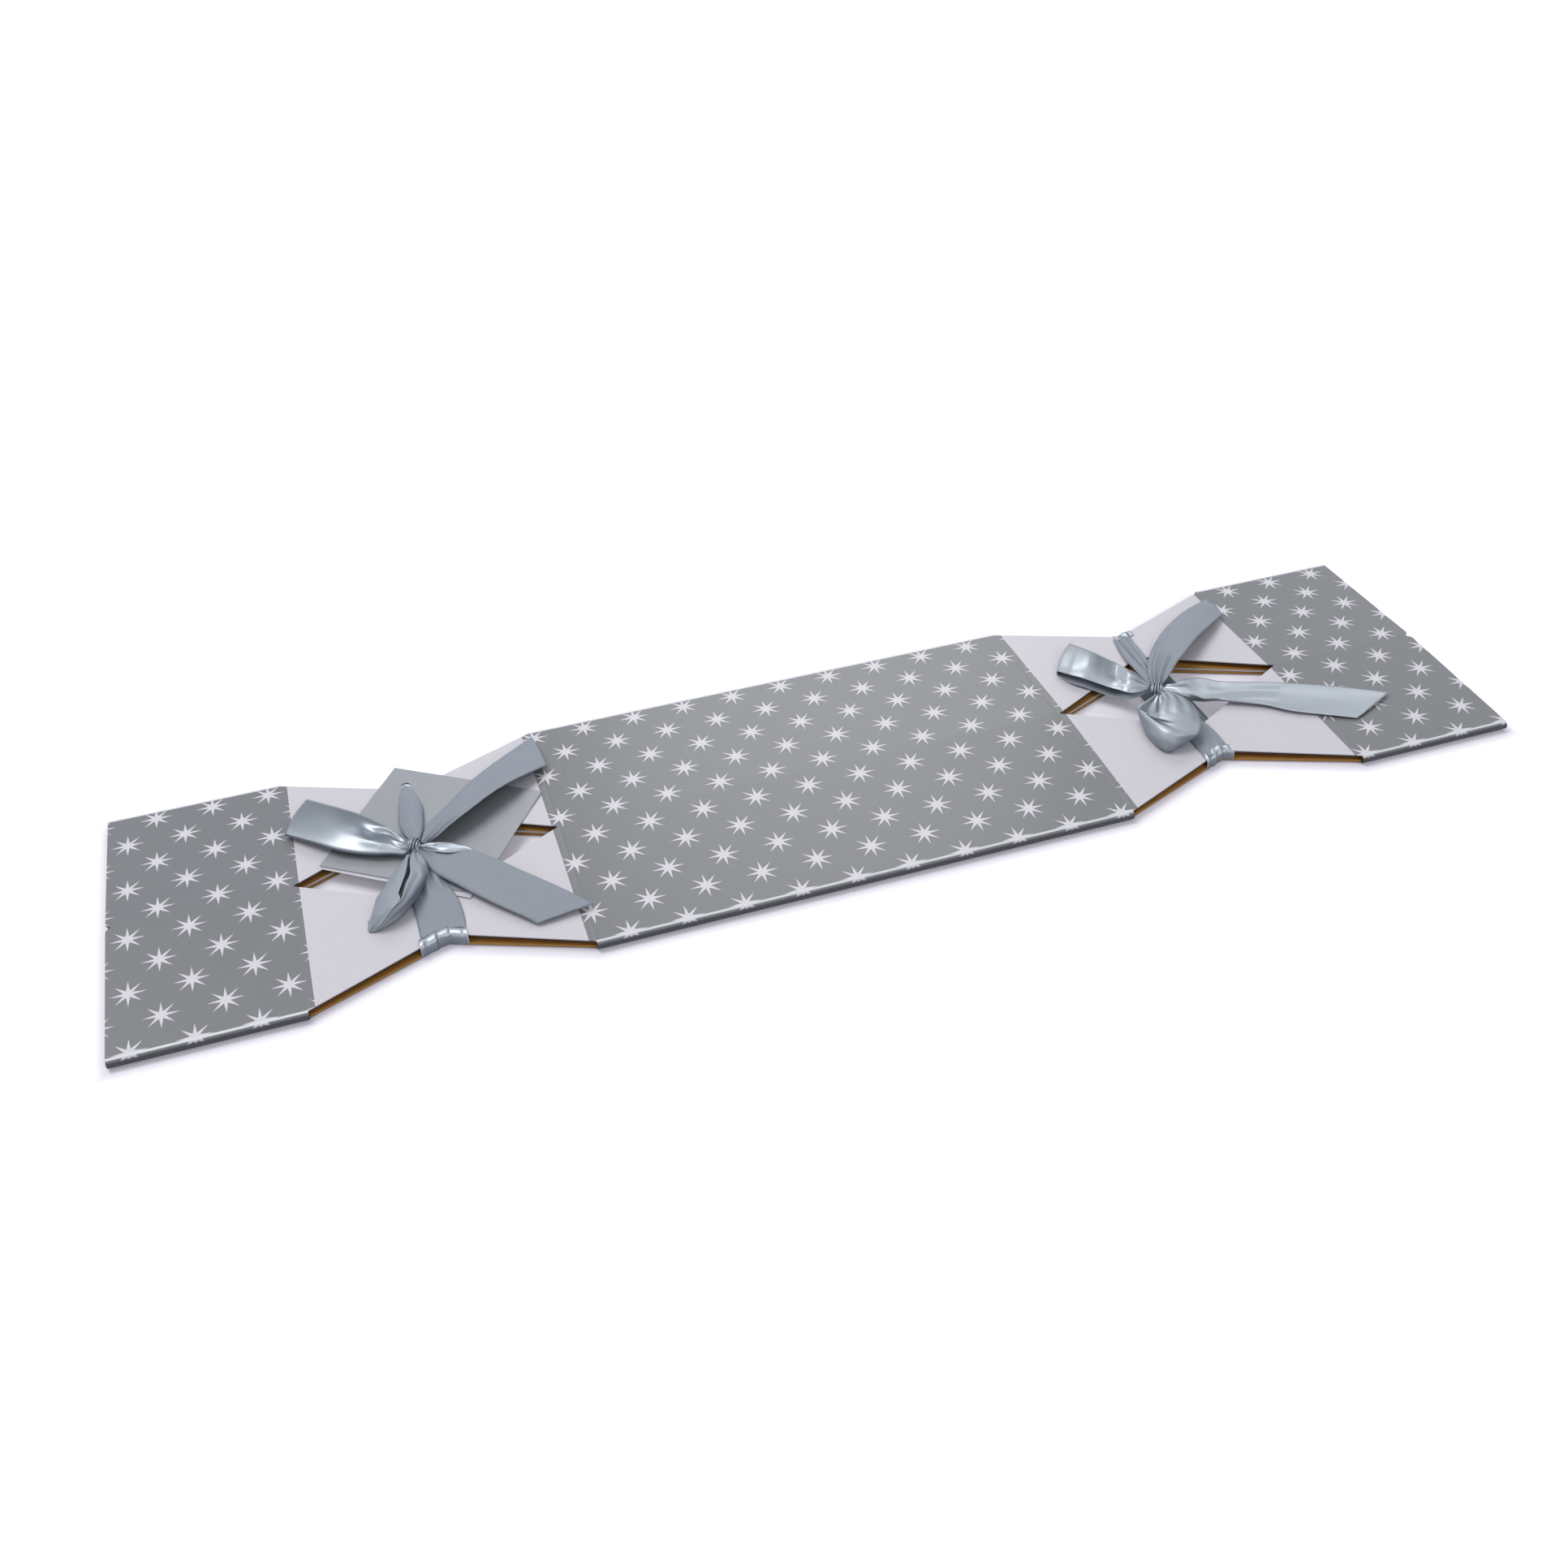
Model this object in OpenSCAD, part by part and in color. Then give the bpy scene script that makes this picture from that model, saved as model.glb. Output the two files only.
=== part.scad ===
/* [Box] */
// Length of the middle section between its two cross creases
body_len = 282; // [200:1:360]
// Length of each neck between its cross creases
neck_len = 135; // [100:1:180]
// Length of each end section past its cross crease
end_len = 89; // [60:1:130]
// Width of one side of the square tube, crease to crease
side = 88; // [78:1:110]
// Depth of the neck cut-out at the two side creases
side_cut = 28; // [15:1:32]
// Depth of the neck cut-out at the two centre creases
centre_cut = 36; // [20:1:40]
// Length that the grey print runs past a cross crease onto the neck
print_lap = 3.4; // [0.5:0.1:8]
// Small corner cut where a centre crease meets an end of the tube
end_notch = 2.5; // [0.5:0.1:6]

/* [Board] */
// Thickness of the white-faced brown board
board_t = 1.5; // [0.9:0.1:2.2]
// Thickness of the printed grey facing
print_t = 0.2; // [0.1:0.05:0.4]
// Gap left between the two flattened layers by the springy creases
layer_gap = 2; // [1:0.1:4]

/* [Ribbon] */
// Width of the satin ribbon
ribbon_w = 25; // [16:1:32]
// Thickness of the satin ribbon
ribbon_t = 0.4; // [0.25:0.05:0.6]
// Radius of the bow's knot
knot_r = 5; // [4:0.1:7]
// Height of the bow's knot
knot_h = 7; // [5:0.1:10]
// Reach of the left bow's side loop from its knot
left_side_loop = 76; // [50:1:85]
// Reach of the right bow's side loop from its knot
right_side_loop = 62; // [45:1:85]
// Reach of the left bow's lower loop from its knot
left_low_loop = 59; // [40:1:75]
// Reach of the right bow's lower loop from its knot
right_low_loop = 54; // [40:1:70]
// Length of the tail that points away and to the right on each bow
upper_tail = 99; // [60:1:115]
// Length of the left bow's near tail
left_near_tail = 93; // [60:1:110]
// Length of the right bow's near tail
right_near_tail = 116; // [60:1:125]

/* [Gift tag] */
// Length of the folded tag along its fold
tag_len = 82; // [60:1:95]
// Width of the folded tag across its fold
tag_w = 86; // [60:1:95]
// Thickness of the tag's card
tag_t = 0.4; // [0.25:0.05:0.6]
// Radius of the hole that the ribbon is threaded through
tag_hole_r = 2.5; // [2:0.1:3.5]
// Distance from the tag's far corner to the hole, along each edge
tag_hole_in = 13; // [9:0.5:18]

/* [Hidden] */
SIDES = ["left", "right"];
PANELS = ["floor", "front", "top", "back"];
BOARDS = ["body_board", "left_neck_board", "right_neck_board", "left_end_board", "right_end_board"];
PRINTS = ["body_print", "left_end_print", "right_end_print"];
RIBBONS = ["ribbon_floor", "ribbon_front", "ribbon_top", "ribbon_back", "ribbon_near_wrap", "ribbon_far_wrap",
           "bow_knot", "bow_side_loop", "bow_low_loop", "bow_upper_tail", "bow_near_tail"];
TAG = ["tag_back_leaf", "tag_front_leaf"];

// Heights of the two flattened layers, from the surface that the ribbon's underside rests on
low_z = ribbon_t;
low_top = low_z + board_t;
up_z = low_top + layer_gap;
top_z = up_z + board_t;
mid_z = (low_top + up_z) / 2;

// Places along the tube
body_x = body_len / 2;
waist_x = body_x + neck_len / 2;
end_x = body_x + neck_len;
tip_x = end_x + end_len;

// Clear half-gap at the centre creases, and at the end of a fold's quarter turn
crease_clear = 0.15;
fold_clear = 0.1;
// Overrun of a cutting shape past what it cuts
over = 1;
// How fast each cut-out deepens towards the waist
side_slope = side_cut / (neck_len / 2);
centre_slope = centre_cut / (neck_len / 2);

// The far panel's half plane: y runs from the centre crease out to the side crease
function side_edge(x) = side - side_slope * max(0, neck_len / 2 - abs(x - waist_x));
function centre_edge(x) = crease_clear + centre_slope * max(0, neck_len / 2 - abs(x - waist_x));

module body_outline() {
    lap_x = body_x + print_lap;
    polygon([[-body_x, crease_clear], [body_x, crease_clear], [lap_x, centre_edge(lap_x)],
             [lap_x, side_edge(lap_x)], [body_x, side], [-body_x, side],
             [-lap_x, side_edge(lap_x)], [-lap_x, centre_edge(lap_x)]]);
}

module neck_outline() {
    from_x = body_x + print_lap;
    to_x = end_x - print_lap;
    for (x = [from_x, to_x])
        polygon([[x, centre_edge(x)], [waist_x, centre_edge(waist_x)],
                 [waist_x, side_edge(waist_x)], [x, side_edge(x)]]);
}

module end_outline() {
    lap_x = end_x - print_lap;
    polygon([[lap_x, centre_edge(lap_x)], [end_x, crease_clear], [tip_x - end_notch, crease_clear],
             [tip_x, crease_clear + end_notch], [tip_x, side], [end_x, side], [lap_x, side_edge(lap_x)]]);
}

// Quarter turn of board or print round a side crease, from the upper face down to mid height
module fold(from_x, to_x, inner_r, outer_r) {
    translate([from_x, side, mid_z]) rotate([90, 0, 90]) linear_extrude(to_x - from_x)
        difference() {
            circle(outer_r, $fn = 48);
            circle(inner_r, $fn = 48);
            translate([-outer_r - over, -outer_r - over]) square([outer_r + over, 2 * (outer_r + over)]);
            translate([-over, -outer_r - over]) square([outer_r + 2 * over, outer_r + over + fold_clear]);
        }
}

// Puts a far, upper panel's shape where the named panel lies, and floor and back the other way up
module place(panel) {
    near = panel == "floor" || panel == "front";
    lower = panel == "floor" || panel == "back";
    translate([0, 0, lower ? 2 * mid_z : 0]) mirror([0, 0, lower ? 1 : 0])
        mirror([0, near ? 1 : 0, 0]) children();
}

module segment_outline(piece) {
    left = piece == "left_neck" || piece == "left_end";
    mirror([left ? 1 : 0, 0, 0]) {
        if (piece == "body") body_outline();
        if (piece == "left_neck" || piece == "right_neck") neck_outline();
        if (piece == "left_end" || piece == "right_end") end_outline();
    }
}

function is_neck(piece) = piece == "left_neck" || piece == "right_neck";
function is_upper(panel) = panel == "front" || panel == "top";
function fold_from(piece) = piece == "body" ? -body_x : piece == "right_end" ? end_x : -tip_x;
function fold_to(piece) = piece == "body" ? body_x : piece == "right_end" ? tip_x : -end_x;

module board(panel, piece) {
    thick = is_neck(piece) ? board_t : board_t - print_t;
    color(is_neck(piece) ? "#dad9de" : "#8a6238") place(panel) {
        translate([0, 0, up_z]) linear_extrude(thick) segment_outline(piece);
        if (is_upper(panel) && !is_neck(piece))
            fold(fold_from(piece), fold_to(piece), layer_gap / 2, layer_gap / 2 + board_t - print_t);
    }
}

module print_sheet(panel, piece) {
    color("#96989e") place(panel) {
        translate([0, 0, top_z - print_t]) linear_extrude(print_t) segment_outline(piece);
        if (is_upper(panel))
            fold(fold_from(piece), fold_to(piece), layer_gap / 2 + board_t - print_t, layer_gap / 2 + board_t);
    }
}

// Sheet of even thickness over a grid of points: rows along it, columns across it
function row_step(g, i, j) = g[min(i + 1, len(g) - 1)][j] - g[max(i - 1, 0)][j];
function column_step(g, i, j) = g[i][min(j + 1, len(g[0]) - 1)] - g[i][max(j - 1, 0)];
function grid_normal(g, i, j) =
    let (n = cross(row_step(g, i, j), column_step(g, i, j))) n / norm(n);
function two(a, b, c, d) = [[a, b, c], [a, c, d]];

module cloth(g, t) {
    n = len(g);
    m = len(g[0]);
    half = t / 2;
    points = [for (s = [1, -1], i = [0:n - 1], j = [0:m - 1]) g[i][j] + s * half * grid_normal(g, i, j)];
    // Index of a point on the upper skin; the lower skin's points follow at u
    u = n * m;
    faces = [
        for (i = [0:n - 2], j = [0:m - 2]) let (a = i * m + j, b = a + 1, c = a + m + 1, d = a + m)
            each concat(two(a, b, c, d), two(u + a, u + d, u + c, u + b)),
        for (i = [0:n - 2]) let (a = i * m, b = a + m, e = a + m - 1, f = b + m - 1)
            each concat(two(a, b, u + b, u + a), two(e, u + e, u + f, f)),
        for (j = [0:m - 2]) let (a = j, b = j + 1, e = (n - 1) * m + j, f = e + 1)
            each concat(two(a, u + a, u + b, b), two(e, f, u + f, u + e))
    ];
    polyhedron(points, faces, convexity = 6);
}

// Shared sizes of the bows
// Half width of a ribbon piece, as a share of the ribbon's, along its way out from the knot
half_share = [[0, 0.28], [0.12, 0.5], [0.3, 0.9], [0.45, 1], [1, 1]];
half_w = ribbon_w / 2;
// Clear gap between the knot and what leaves it, and between soft pieces that lie on each other
knot_clear = 0.25;
lie_clear = 0.3;
start_r = knot_r + knot_clear;
bed_z = top_z + ribbon_t + lie_clear;
tag_top = bed_z + 2 * tag_t + lie_clear;
layer_step = 2 * ribbon_t;
loop_rows = 22;
tail_rows = 16;

// Each bow: knot's place from the waist, height of what it lies on, and headings of its pieces
function knot_at(s) = s == "left" ? [-waist_x - knot_r, knot_r / 2] : [waist_x - knot_r, knot_r / 4];
function bow_bed(s) = s == "left" ? tag_top + lie_clear : bed_z;
function side_heading(s) = s == "left" ? 136 : 128;
function low_heading(s) = s == "left" ? -119 : -116;
function near_heading(s) = s == "left" ? -49 : -28;
upper_heading = 42;

function along(heading) = [cos(heading), sin(heading), 0];
function across(heading) = [-sin(heading), cos(heading), 0];

// A loop leaves the knot, lies flat to its tip, turns there and comes back over itself, crowned
function loop_half(u) = half_w * lookup(1 - abs(2 * u - 1), half_share);
function loop_grid(at, z, heading, reach, rise, roll) = [
    for (i = [0:loop_rows]) let (
        u = i / loop_rows,
        half = loop_half(u),
        out = start_r + (reach - start_r) * sin(180 * u),
        up = 2 * layer_step * u + rise * (u > 0.5 ? sin(180 * (2 * u - 1)) : 0),
        bulge = [0, 0, cos(roll)] + sin(roll) * across(heading),
        wide = cos(roll) * across(heading) - [0, 0, sin(roll)],
        base = z + abs(sin(roll)) * half,
        mid = [at[0], at[1], base] + out * along(heading) + up * bulge
    ) [for (s = [-1, 0, 1]) mid + s * half * wide]
];

// A tail leaves the knot and runs out, turning by a bend, waving, and ending in a slanted cut
function tail_grid(at, z, heading, reach, bend, wave, cut) = [
    for (i = [0:tail_rows]) let (
        u = i / tail_rows,
        half = half_w * lookup(u, half_share),
        turn = heading + bend * (1 - u),
        out = start_r + (reach - start_r) * u,
        up = wave * (1 - cos(360 * u)) / 2,
        mid = [at[0], at[1], z + up] + out * along(turn),
        slant = half * tan(cut) * pow(u, 4)
    ) [for (s = [-1, 0, 1]) mid + s * half * across(turn) + s * slant * along(turn)]
];

wave_rise = 4 * layer_step;
side_rise = ribbon_w / 3;
low_rise = ribbon_w / 2;
low_roll = 40;
cut_angle = 32;

// A short barrel of tightly wrapped ribbon
module bow_knot(s) {
    at = knot_at(s);
    barrel_r = knot_h / 2;
    color("#a9b3bd") translate([at[0], at[1], bow_bed(s)]) rotate_extrude($fn = 40)
        intersection() {
            union() {
                translate([knot_r - barrel_r, barrel_r]) circle(barrel_r, $fn = 40);
                square([knot_r - barrel_r, knot_h]);
            }
            square([knot_r, knot_h]);
        }
}

module bow_side_loop(s) {
    color("#b4bdc6") cloth(loop_grid(knot_at(s), bow_bed(s) + 2 * layer_step, side_heading(s),
        s == "left" ? left_side_loop : right_side_loop, side_rise, 0), ribbon_t);
}

module bow_low_loop(s) {
    color("#a4adb7") cloth(loop_grid(knot_at(s), bow_bed(s) + layer_step, low_heading(s),
        s == "left" ? left_low_loop : right_low_loop, low_rise, s == "left" ? low_roll : 0), ribbon_t);
}

module bow_upper_tail(s) {
    color("#a0a9b3") cloth(tail_grid(knot_at(s), bow_bed(s) + layer_step, upper_heading, upper_tail,
        20, wave_rise, cut_angle), ribbon_t);
}

module bow_near_tail(s) {
    color("#aab4be") cloth(tail_grid(knot_at(s), bow_bed(s) + layer_step, near_heading(s),
        s == "left" ? left_near_tail : right_near_tail, 12, wave_rise, -cut_angle), ribbon_t);
}

// The band round each neck: flat under the floor and back, over the front and top, turned at both edges
wrap_in = 5;
wrap_out = 0.9;
wrap_clear = 0.15;
lip_y = side - side_cut - wrap_in;

module ribbon_under(s, panel) {
    x = (s == "left" ? -1 : 1) * waist_x;
    color("#9aa3ad") place(panel == "floor" ? "front" : "top") translate([x - half_w, crease_clear, 0])
        cube([ribbon_w, lip_y - crease_clear, ribbon_t]);
}

// Rows of a band are [y, z, half width]; its middle runs straight from the waist to the knot
function band_grid(x, knot_x, rows) = [
    for (r = rows) let (mid_x = x + (knot_x - x) * (1 - abs(r[0]) / lip_y))
        [for (c = [-1, 0, 1]) [mid_x + c * r[2], r[0], r[1]]]
];
knot_half = half_w * half_share[0][1];
band_z = top_z + ribbon_t / 2;
over_tag_z = tag_top + lie_clear + ribbon_t / 2;

// Plain band: full width at the edge wrap, gathered under the knot at the centre crease
module ribbon_over(s, far) {
    x = (s == "left" ? -1 : 1) * waist_x;
    dir = far ? 1 : -1;
    rows = [[lip_y, half_w], [lip_y * 0.75, half_w], [lip_y * 0.4, half_w * 0.85], [crease_clear, knot_half]];
    color("#a6afb9") cloth(band_grid(x, knot_at(s)[0],
        [for (r = rows) [dir * r[0], band_z, dir * r[1]]]), ribbon_t);
}

// Left neck, near side: the band climbs over the near corner of the tag on its way to the knot
module ribbon_over_tag() {
    at = knot_at("left");
    climb_y = -tag_near_y + lie_clear;
    rows = [[lip_y, band_z, half_w], [climb_y + wrap_in, band_z, half_w], [climb_y, over_tag_z, half_w],
            [climb_y / 2, over_tag_z, half_w * 0.8], [start_r - at[1], over_tag_z, knot_half]];
    color("#a6afb9") cloth(band_grid(-waist_x, at[0], [for (r = rows) [-r[0], r[1], -r[2]]]), ribbon_t);
}

// Left neck, far side: the gathered strand comes up through the tag's hole and lies on it to the knot
module ribbon_through_tag() {
    at = knot_at("left");
    strand_half = 0.85 * tag_hole_r;
    fold_r = ribbon_t;
    rows = [[0, bed_z, strand_half], [0, over_tag_z - fold_r, strand_half],
            [fold_r, over_tag_z, strand_half], [tag_hole_in / 2, over_tag_z, 1.5 * strand_half],
            [1.6 * tag_hole_in, over_tag_z, 2.2 * strand_half],
            [2.6 * tag_hole_in, over_tag_z, 2 * strand_half],
            [tag_hole_at[1] - at[1] - start_r, over_tag_z, knot_half]];
    color("#a6afb9") cloth([for (r = rows)
        let (mid_x = tag_hole_at[0] + (at[0] - tag_hole_at[0]) * r[0] / (tag_hole_at[1] - at[1]))
        [for (c = [-1, 0, 1]) [mid_x - c * r[2], tag_hole_at[1] - r[0], r[1]]]], ribbon_t);
}

module ribbon_wrap(s, far) {
    x = (s == "left" ? -1 : 1) * waist_x;
    dir = far ? 1 : -1;
    under_z = ribbon_t / 2;
    bend_r = ribbon_t;
    color("#c3cad1") cloth([
        for (p = [[-wrap_in, under_z], [wrap_clear, under_z], [wrap_out, under_z + bend_r],
                  [wrap_out + bend_r, mid_z], [wrap_out, band_z - bend_r], [wrap_clear, band_z],
                  [-wrap_in, band_z]])
            [for (c = dir * [1, 0.5, 0, -0.5, -1]) let (
                px = waist_x + c * half_w,
                edge = p[0] < 0 ? side - side_cut : side_edge(px))
                [x + c * half_w, dir * (edge + p[0]), p[1]]]
    ], ribbon_t);
}

// The folded tag: its far corner holds the hole, which lies just past the far edge of the left neck
tag_turn = -34;
tag_hole_at = [-waist_x - ribbon_w / 8, side - side_cut + tag_hole_r / 2];

tag_near_y = tag_hole_at[1] + (tag_w - tag_hole_in) * sin(tag_turn) + (tag_hole_in - tag_len) * cos(tag_turn);

module tag_outline() {
    translate(tag_hole_at) rotate(tag_turn) difference() {
        translate([-tag_hole_in, tag_hole_in - tag_len]) square([tag_w, tag_len]);
        circle(tag_hole_r, $fn = 36);
    }
}

module tag_leaf(z) {
    color("#a8acb2") translate([0, 0, z]) linear_extrude(tag_t) tag_outline();
}

for (p = PANELS, piece = ["body", "left_neck", "right_neck", "left_end", "right_end"])
    board(p, piece);
for (p = PANELS, piece = ["body", "left_end", "right_end"])
    print_sheet(p, piece);
for (s = SIDES) {
    ribbon_under(s, "floor");
    ribbon_under(s, "back");
    bow_knot(s);
    ribbon_wrap(s, false);
    ribbon_wrap(s, true);
    bow_side_loop(s);
    bow_low_loop(s);
    bow_upper_tail(s);
    bow_near_tail(s);
}
ribbon_over_tag();  // left_ribbon_front
ribbon_through_tag();  // left_ribbon_top
ribbon_over("right", false);  // right_ribbon_front
ribbon_over("right", true);  // right_ribbon_top
tag_leaf(bed_z);  // tag_back_leaf
tag_leaf(bed_z + tag_t + lie_clear);  // tag_front_leaf
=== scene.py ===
# Christmas cracker gift box, lying flat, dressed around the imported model
import math

import bpy
import numpy as np
from mathutils import Matrix, Vector


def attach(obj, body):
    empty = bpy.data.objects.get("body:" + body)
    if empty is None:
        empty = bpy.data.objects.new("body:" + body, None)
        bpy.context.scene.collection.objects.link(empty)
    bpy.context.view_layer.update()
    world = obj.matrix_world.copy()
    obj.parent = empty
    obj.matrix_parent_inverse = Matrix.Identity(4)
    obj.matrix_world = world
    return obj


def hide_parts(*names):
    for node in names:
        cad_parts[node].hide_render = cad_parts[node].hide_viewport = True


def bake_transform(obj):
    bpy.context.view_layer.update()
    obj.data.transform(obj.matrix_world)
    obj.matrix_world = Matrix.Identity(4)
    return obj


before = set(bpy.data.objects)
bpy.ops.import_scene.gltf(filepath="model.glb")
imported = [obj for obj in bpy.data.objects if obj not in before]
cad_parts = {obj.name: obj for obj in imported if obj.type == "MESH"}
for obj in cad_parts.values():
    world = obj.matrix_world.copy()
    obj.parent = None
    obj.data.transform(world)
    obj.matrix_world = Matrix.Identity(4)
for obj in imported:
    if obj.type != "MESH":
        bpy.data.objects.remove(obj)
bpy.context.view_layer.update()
scene = bpy.context.scene

# Camera
# It stands in front of the left bow and looks down along the box, from where the photograph was taken.
# A plain lens without shift; the photograph is 1932 pixels square.
PHOTO, FOCAL_PX, SENSOR_MM = 1932, 2000.14, 36
EYE = Vector((-0.21025, -0.65404, 0.53783))
AHEAD = Vector((0.22042, 0.75431, -0.61841)).normalized()
HEAD_UP = Vector((0.21545, 0.58069, 0.78510))
RIGHT = AHEAD.cross(HEAD_UP).normalized()
UP = RIGHT.cross(AHEAD)


def clear_selection():
    bpy.ops.object.select_all(action="DESELECT")


clear_selection()
turn = Matrix((RIGHT, UP, -AHEAD)).transposed()
bpy.ops.object.camera_add(location=EYE, rotation=turn.to_euler())
camera = bpy.context.object
camera.data.sensor_width = SENSOR_MM
camera.data.lens = SENSOR_MM * FOCAL_PX / PHOTO
camera.data.clip_start = 0.01
scene.camera = camera


def seen(px, py, height):
    """The point height millimetres above the table that shows at a pixel of the photograph."""
    ray = AHEAD * FOCAL_PX + RIGHT * (px - PHOTO / 2) - UP * (py - PHOTO / 2)
    return EYE + ray * ((height / 1000 - EYE.z) / ray.z)


# Studio
# A white table that keeps the box's soft shadow, under four large soft lamps and a plain white surround.
# Close to the box the table glows less, which paints a soft shadow along its outline and lets the cast shadow
# show. The surround is white to the camera, in reflections and through gaps, and lights the box at a plain
# level.
class Wire:
    """One socket of a node tree, so that a pattern is written as a plain sum."""

    def __init__(self, tree, socket=None):
        self.tree, self.socket = tree, socket

    def node(self, kind, settings=None, out=0, **values):
        """Adds a node: its settings, then its sockets by name, with _ for a space, or i0, i1 by number."""
        made = self.tree.nodes.new(kind)
        for key, value in (settings or {}).items():
            setattr(made, key, value)
        for key, value in values.items():
            name = int(key[1:]) if key[0] == "i" and key[1:].isdigit() else key.replace("_", " ")
            if isinstance(value, Wire):
                self.tree.links.new(value.socket, made.inputs[name])
            else:
                made.inputs[name].default_value = value
        return Wire(self.tree, made.outputs[out])

    def math(self, operation, *others):
        values = {"i%d" % i: v for i, v in enumerate((self,) + others)}
        return self.node("ShaderNodeMath", {"operation": operation}, **values)

    def __add__(self, other): return self.math("ADD", other)
    def __radd__(self, other): return self.math("ADD", other)
    def __mul__(self, other): return self.math("MULTIPLY", other)
    def __rmul__(self, other): return self.math("MULTIPLY", other)
    def __truediv__(self, other): return self.math("DIVIDE", other)
    def __sub__(self, other): return self.math("SUBTRACT", other)
    def __rsub__(self, other): return (self * -1).math("ADD", other)
    def clamp(self): return self.math("MAXIMUM", 0).math("MINIMUM", 1)
    def above(self, edge, soft): return ((self - edge) / soft + 0.5).clamp()

    def parts(self):
        """The three numbers of a vector."""
        return [self.node("ShaderNodeSeparateXYZ", out=i, Vector=self) for i in range(3)]

    def blend(self, low, high):
        """Mixes two colours by this value."""
        return self.node("ShaderNodeMix", {"data_type": "RGBA"}, out=2, i0=self, i6=low, i7=high)


def material(name, **constants):
    made = bpy.data.materials.new(name)
    made.use_nodes = True
    shader = made.node_tree.nodes["Principled BSDF"]
    for key, value in constants.items():
        shader.inputs[key.replace("_", " ")].default_value = value
    return made, Wire(made.node_tree), shader


def feed(shader, **wires):
    for key, wire in wires.items():
        wire.tree.links.new(wire.socket, shader.inputs[key.replace("_", " ")])


BODY_X, NECK, TIP_X, HALF_WIDE = 0.141, 0.135, 0.365, 0.0905
WAIST_X, WAIST_CUT = BODY_X + NECK / 2, 0.028
TABLE_Z = -0.0002

clear_selection()
bpy.ops.mesh.primitive_plane_add(size=12, location=(0, 2, TABLE_Z))
table = bpy.context.object
table.name = "table"
bpy.ops.object.transform_apply(location=True)
table_paint, w, shader = material("table_paint", Roughness=0.9, Specular_IOR_Level=0.1)
shader.inputs["Base Color"].default_value = (0.80, 0.79, 0.85, 1)
camera_ray = w.node("ShaderNodeLightPath", out="Is Camera Ray")
x, y, _ = w.node("ShaderNodeTexCoord", out="Object").parts()
far_x, far_y = x.math("ABSOLUTE"), y.math("ABSOLUTE")
waist = ((1 - (far_x - WAIST_X).math("ABSOLUTE") / (NECK / 2)) * WAIST_CUT).clamp()
from_box = (far_y + waist - HALF_WIDE).math("MAXIMUM", far_x - TIP_X)
far_off = (x * x + y * y).above(1.6, 1.6)
open_table = far_off.blend((0.52, 0.52, 0.52, 1), (1, 1, 1, 1))
# Painted shadow: within about a centimetre of the box's outline the glow fades to dark grey.
glow_with_painted_shadow = from_box.above(0.006, 0.011).blend((0.16, 0.15, 0.17, 1), open_table)
glow = w.node("ShaderNodeEmission", Color=glow_with_painted_shadow, Strength=1.0)
painted = Wire(w.tree, shader.outputs["BSDF"])
both = w.node("ShaderNodeAddShader", i0=painted, i1=glow)
shown = w.node("ShaderNodeMixShader", i0=camera_ray, i1=painted, i2=both)
w.tree.links.new(shown.socket, w.tree.nodes["Material Output"].inputs["Surface"])
table.data.materials.append(table_paint)

world = bpy.data.worlds.new("surround")
scene.world = world
world.use_nodes = True
w = Wire(world.node_tree)
camera_ray = w.node("ShaderNodeLightPath", out="Is Camera Ray")
glossy_ray = w.node("ShaderNodeLightPath", out="Is Glossy Ray")
through_ray = w.node("ShaderNodeLightPath", out="Is Transmission Ray")
seen_white = camera_ray.math("MAXIMUM", glossy_ray * 0.75).math("MAXIMUM", through_ray)
PLAIN_LEVEL = 0.38
strength = seen_white * (1 - PLAIN_LEVEL) + PLAIN_LEVEL
background = world.node_tree.nodes["Background"]
background.inputs["Color"].default_value = (0.95, 0.985, 1.05, 1)
world.node_tree.links.new(strength.socket, background.inputs["Strength"])


def lamp(name, place, target, size, power):
    clear_selection()
    aim = (Vector(target) - Vector(place)).to_track_quat("-Z", "Y").to_euler()
    bpy.ops.object.light_add(type="AREA", location=place, rotation=aim)
    made = bpy.context.object
    made.name = name
    made.data.shape = "SQUARE"
    made.data.size = size
    made.data.energy = power


lamp("key_lamp", (-0.85, 0.7, 2.1), (-0.05, 0, 0), 1.25, 23.5)
lamp("sheen_lamp", (0.50, 1.5, 1.25), (0.05, 0, 0), 0.8, 6.5)
lamp("side_lamp", (1.65, 1.45, 1.25), (0.3, 0, 0), 0.7, 1.2)
lamp("fill_lamp", (0.5, -1.5, 1.5), (0, 0, 0), 1.6, 7)

scene.view_settings.view_transform = "Standard"

# Board panels
# The blank's four panels: front and top make the upper layer, floor and back the lower one. White-faced brown
# board, die-cut with a V at both creases of each neck and a notch at each open end, glued and folded flat. The
# middle and both ends are printed satin grey with small eight-pointed stars, placed by the flat blank's UV map.
END_X, SIDE = 0.276, 0.088
STAR_PITCH, ROW_STEP = 0.0288, 0.6545
STAR_TIP, STAR_WAIST = 0.296, 0.082
FIRST_STAR = (0.1825, -1.0670)
PRINT_LAP = 0.0034
PAINTED_GLINT_BAND, PAINTED_SHADE_BAND = (-0.0002, 0.0011), (0.0022, 0.0074)
FACE_PLY, CORE_PLY = 0.38, 0.97


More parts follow.
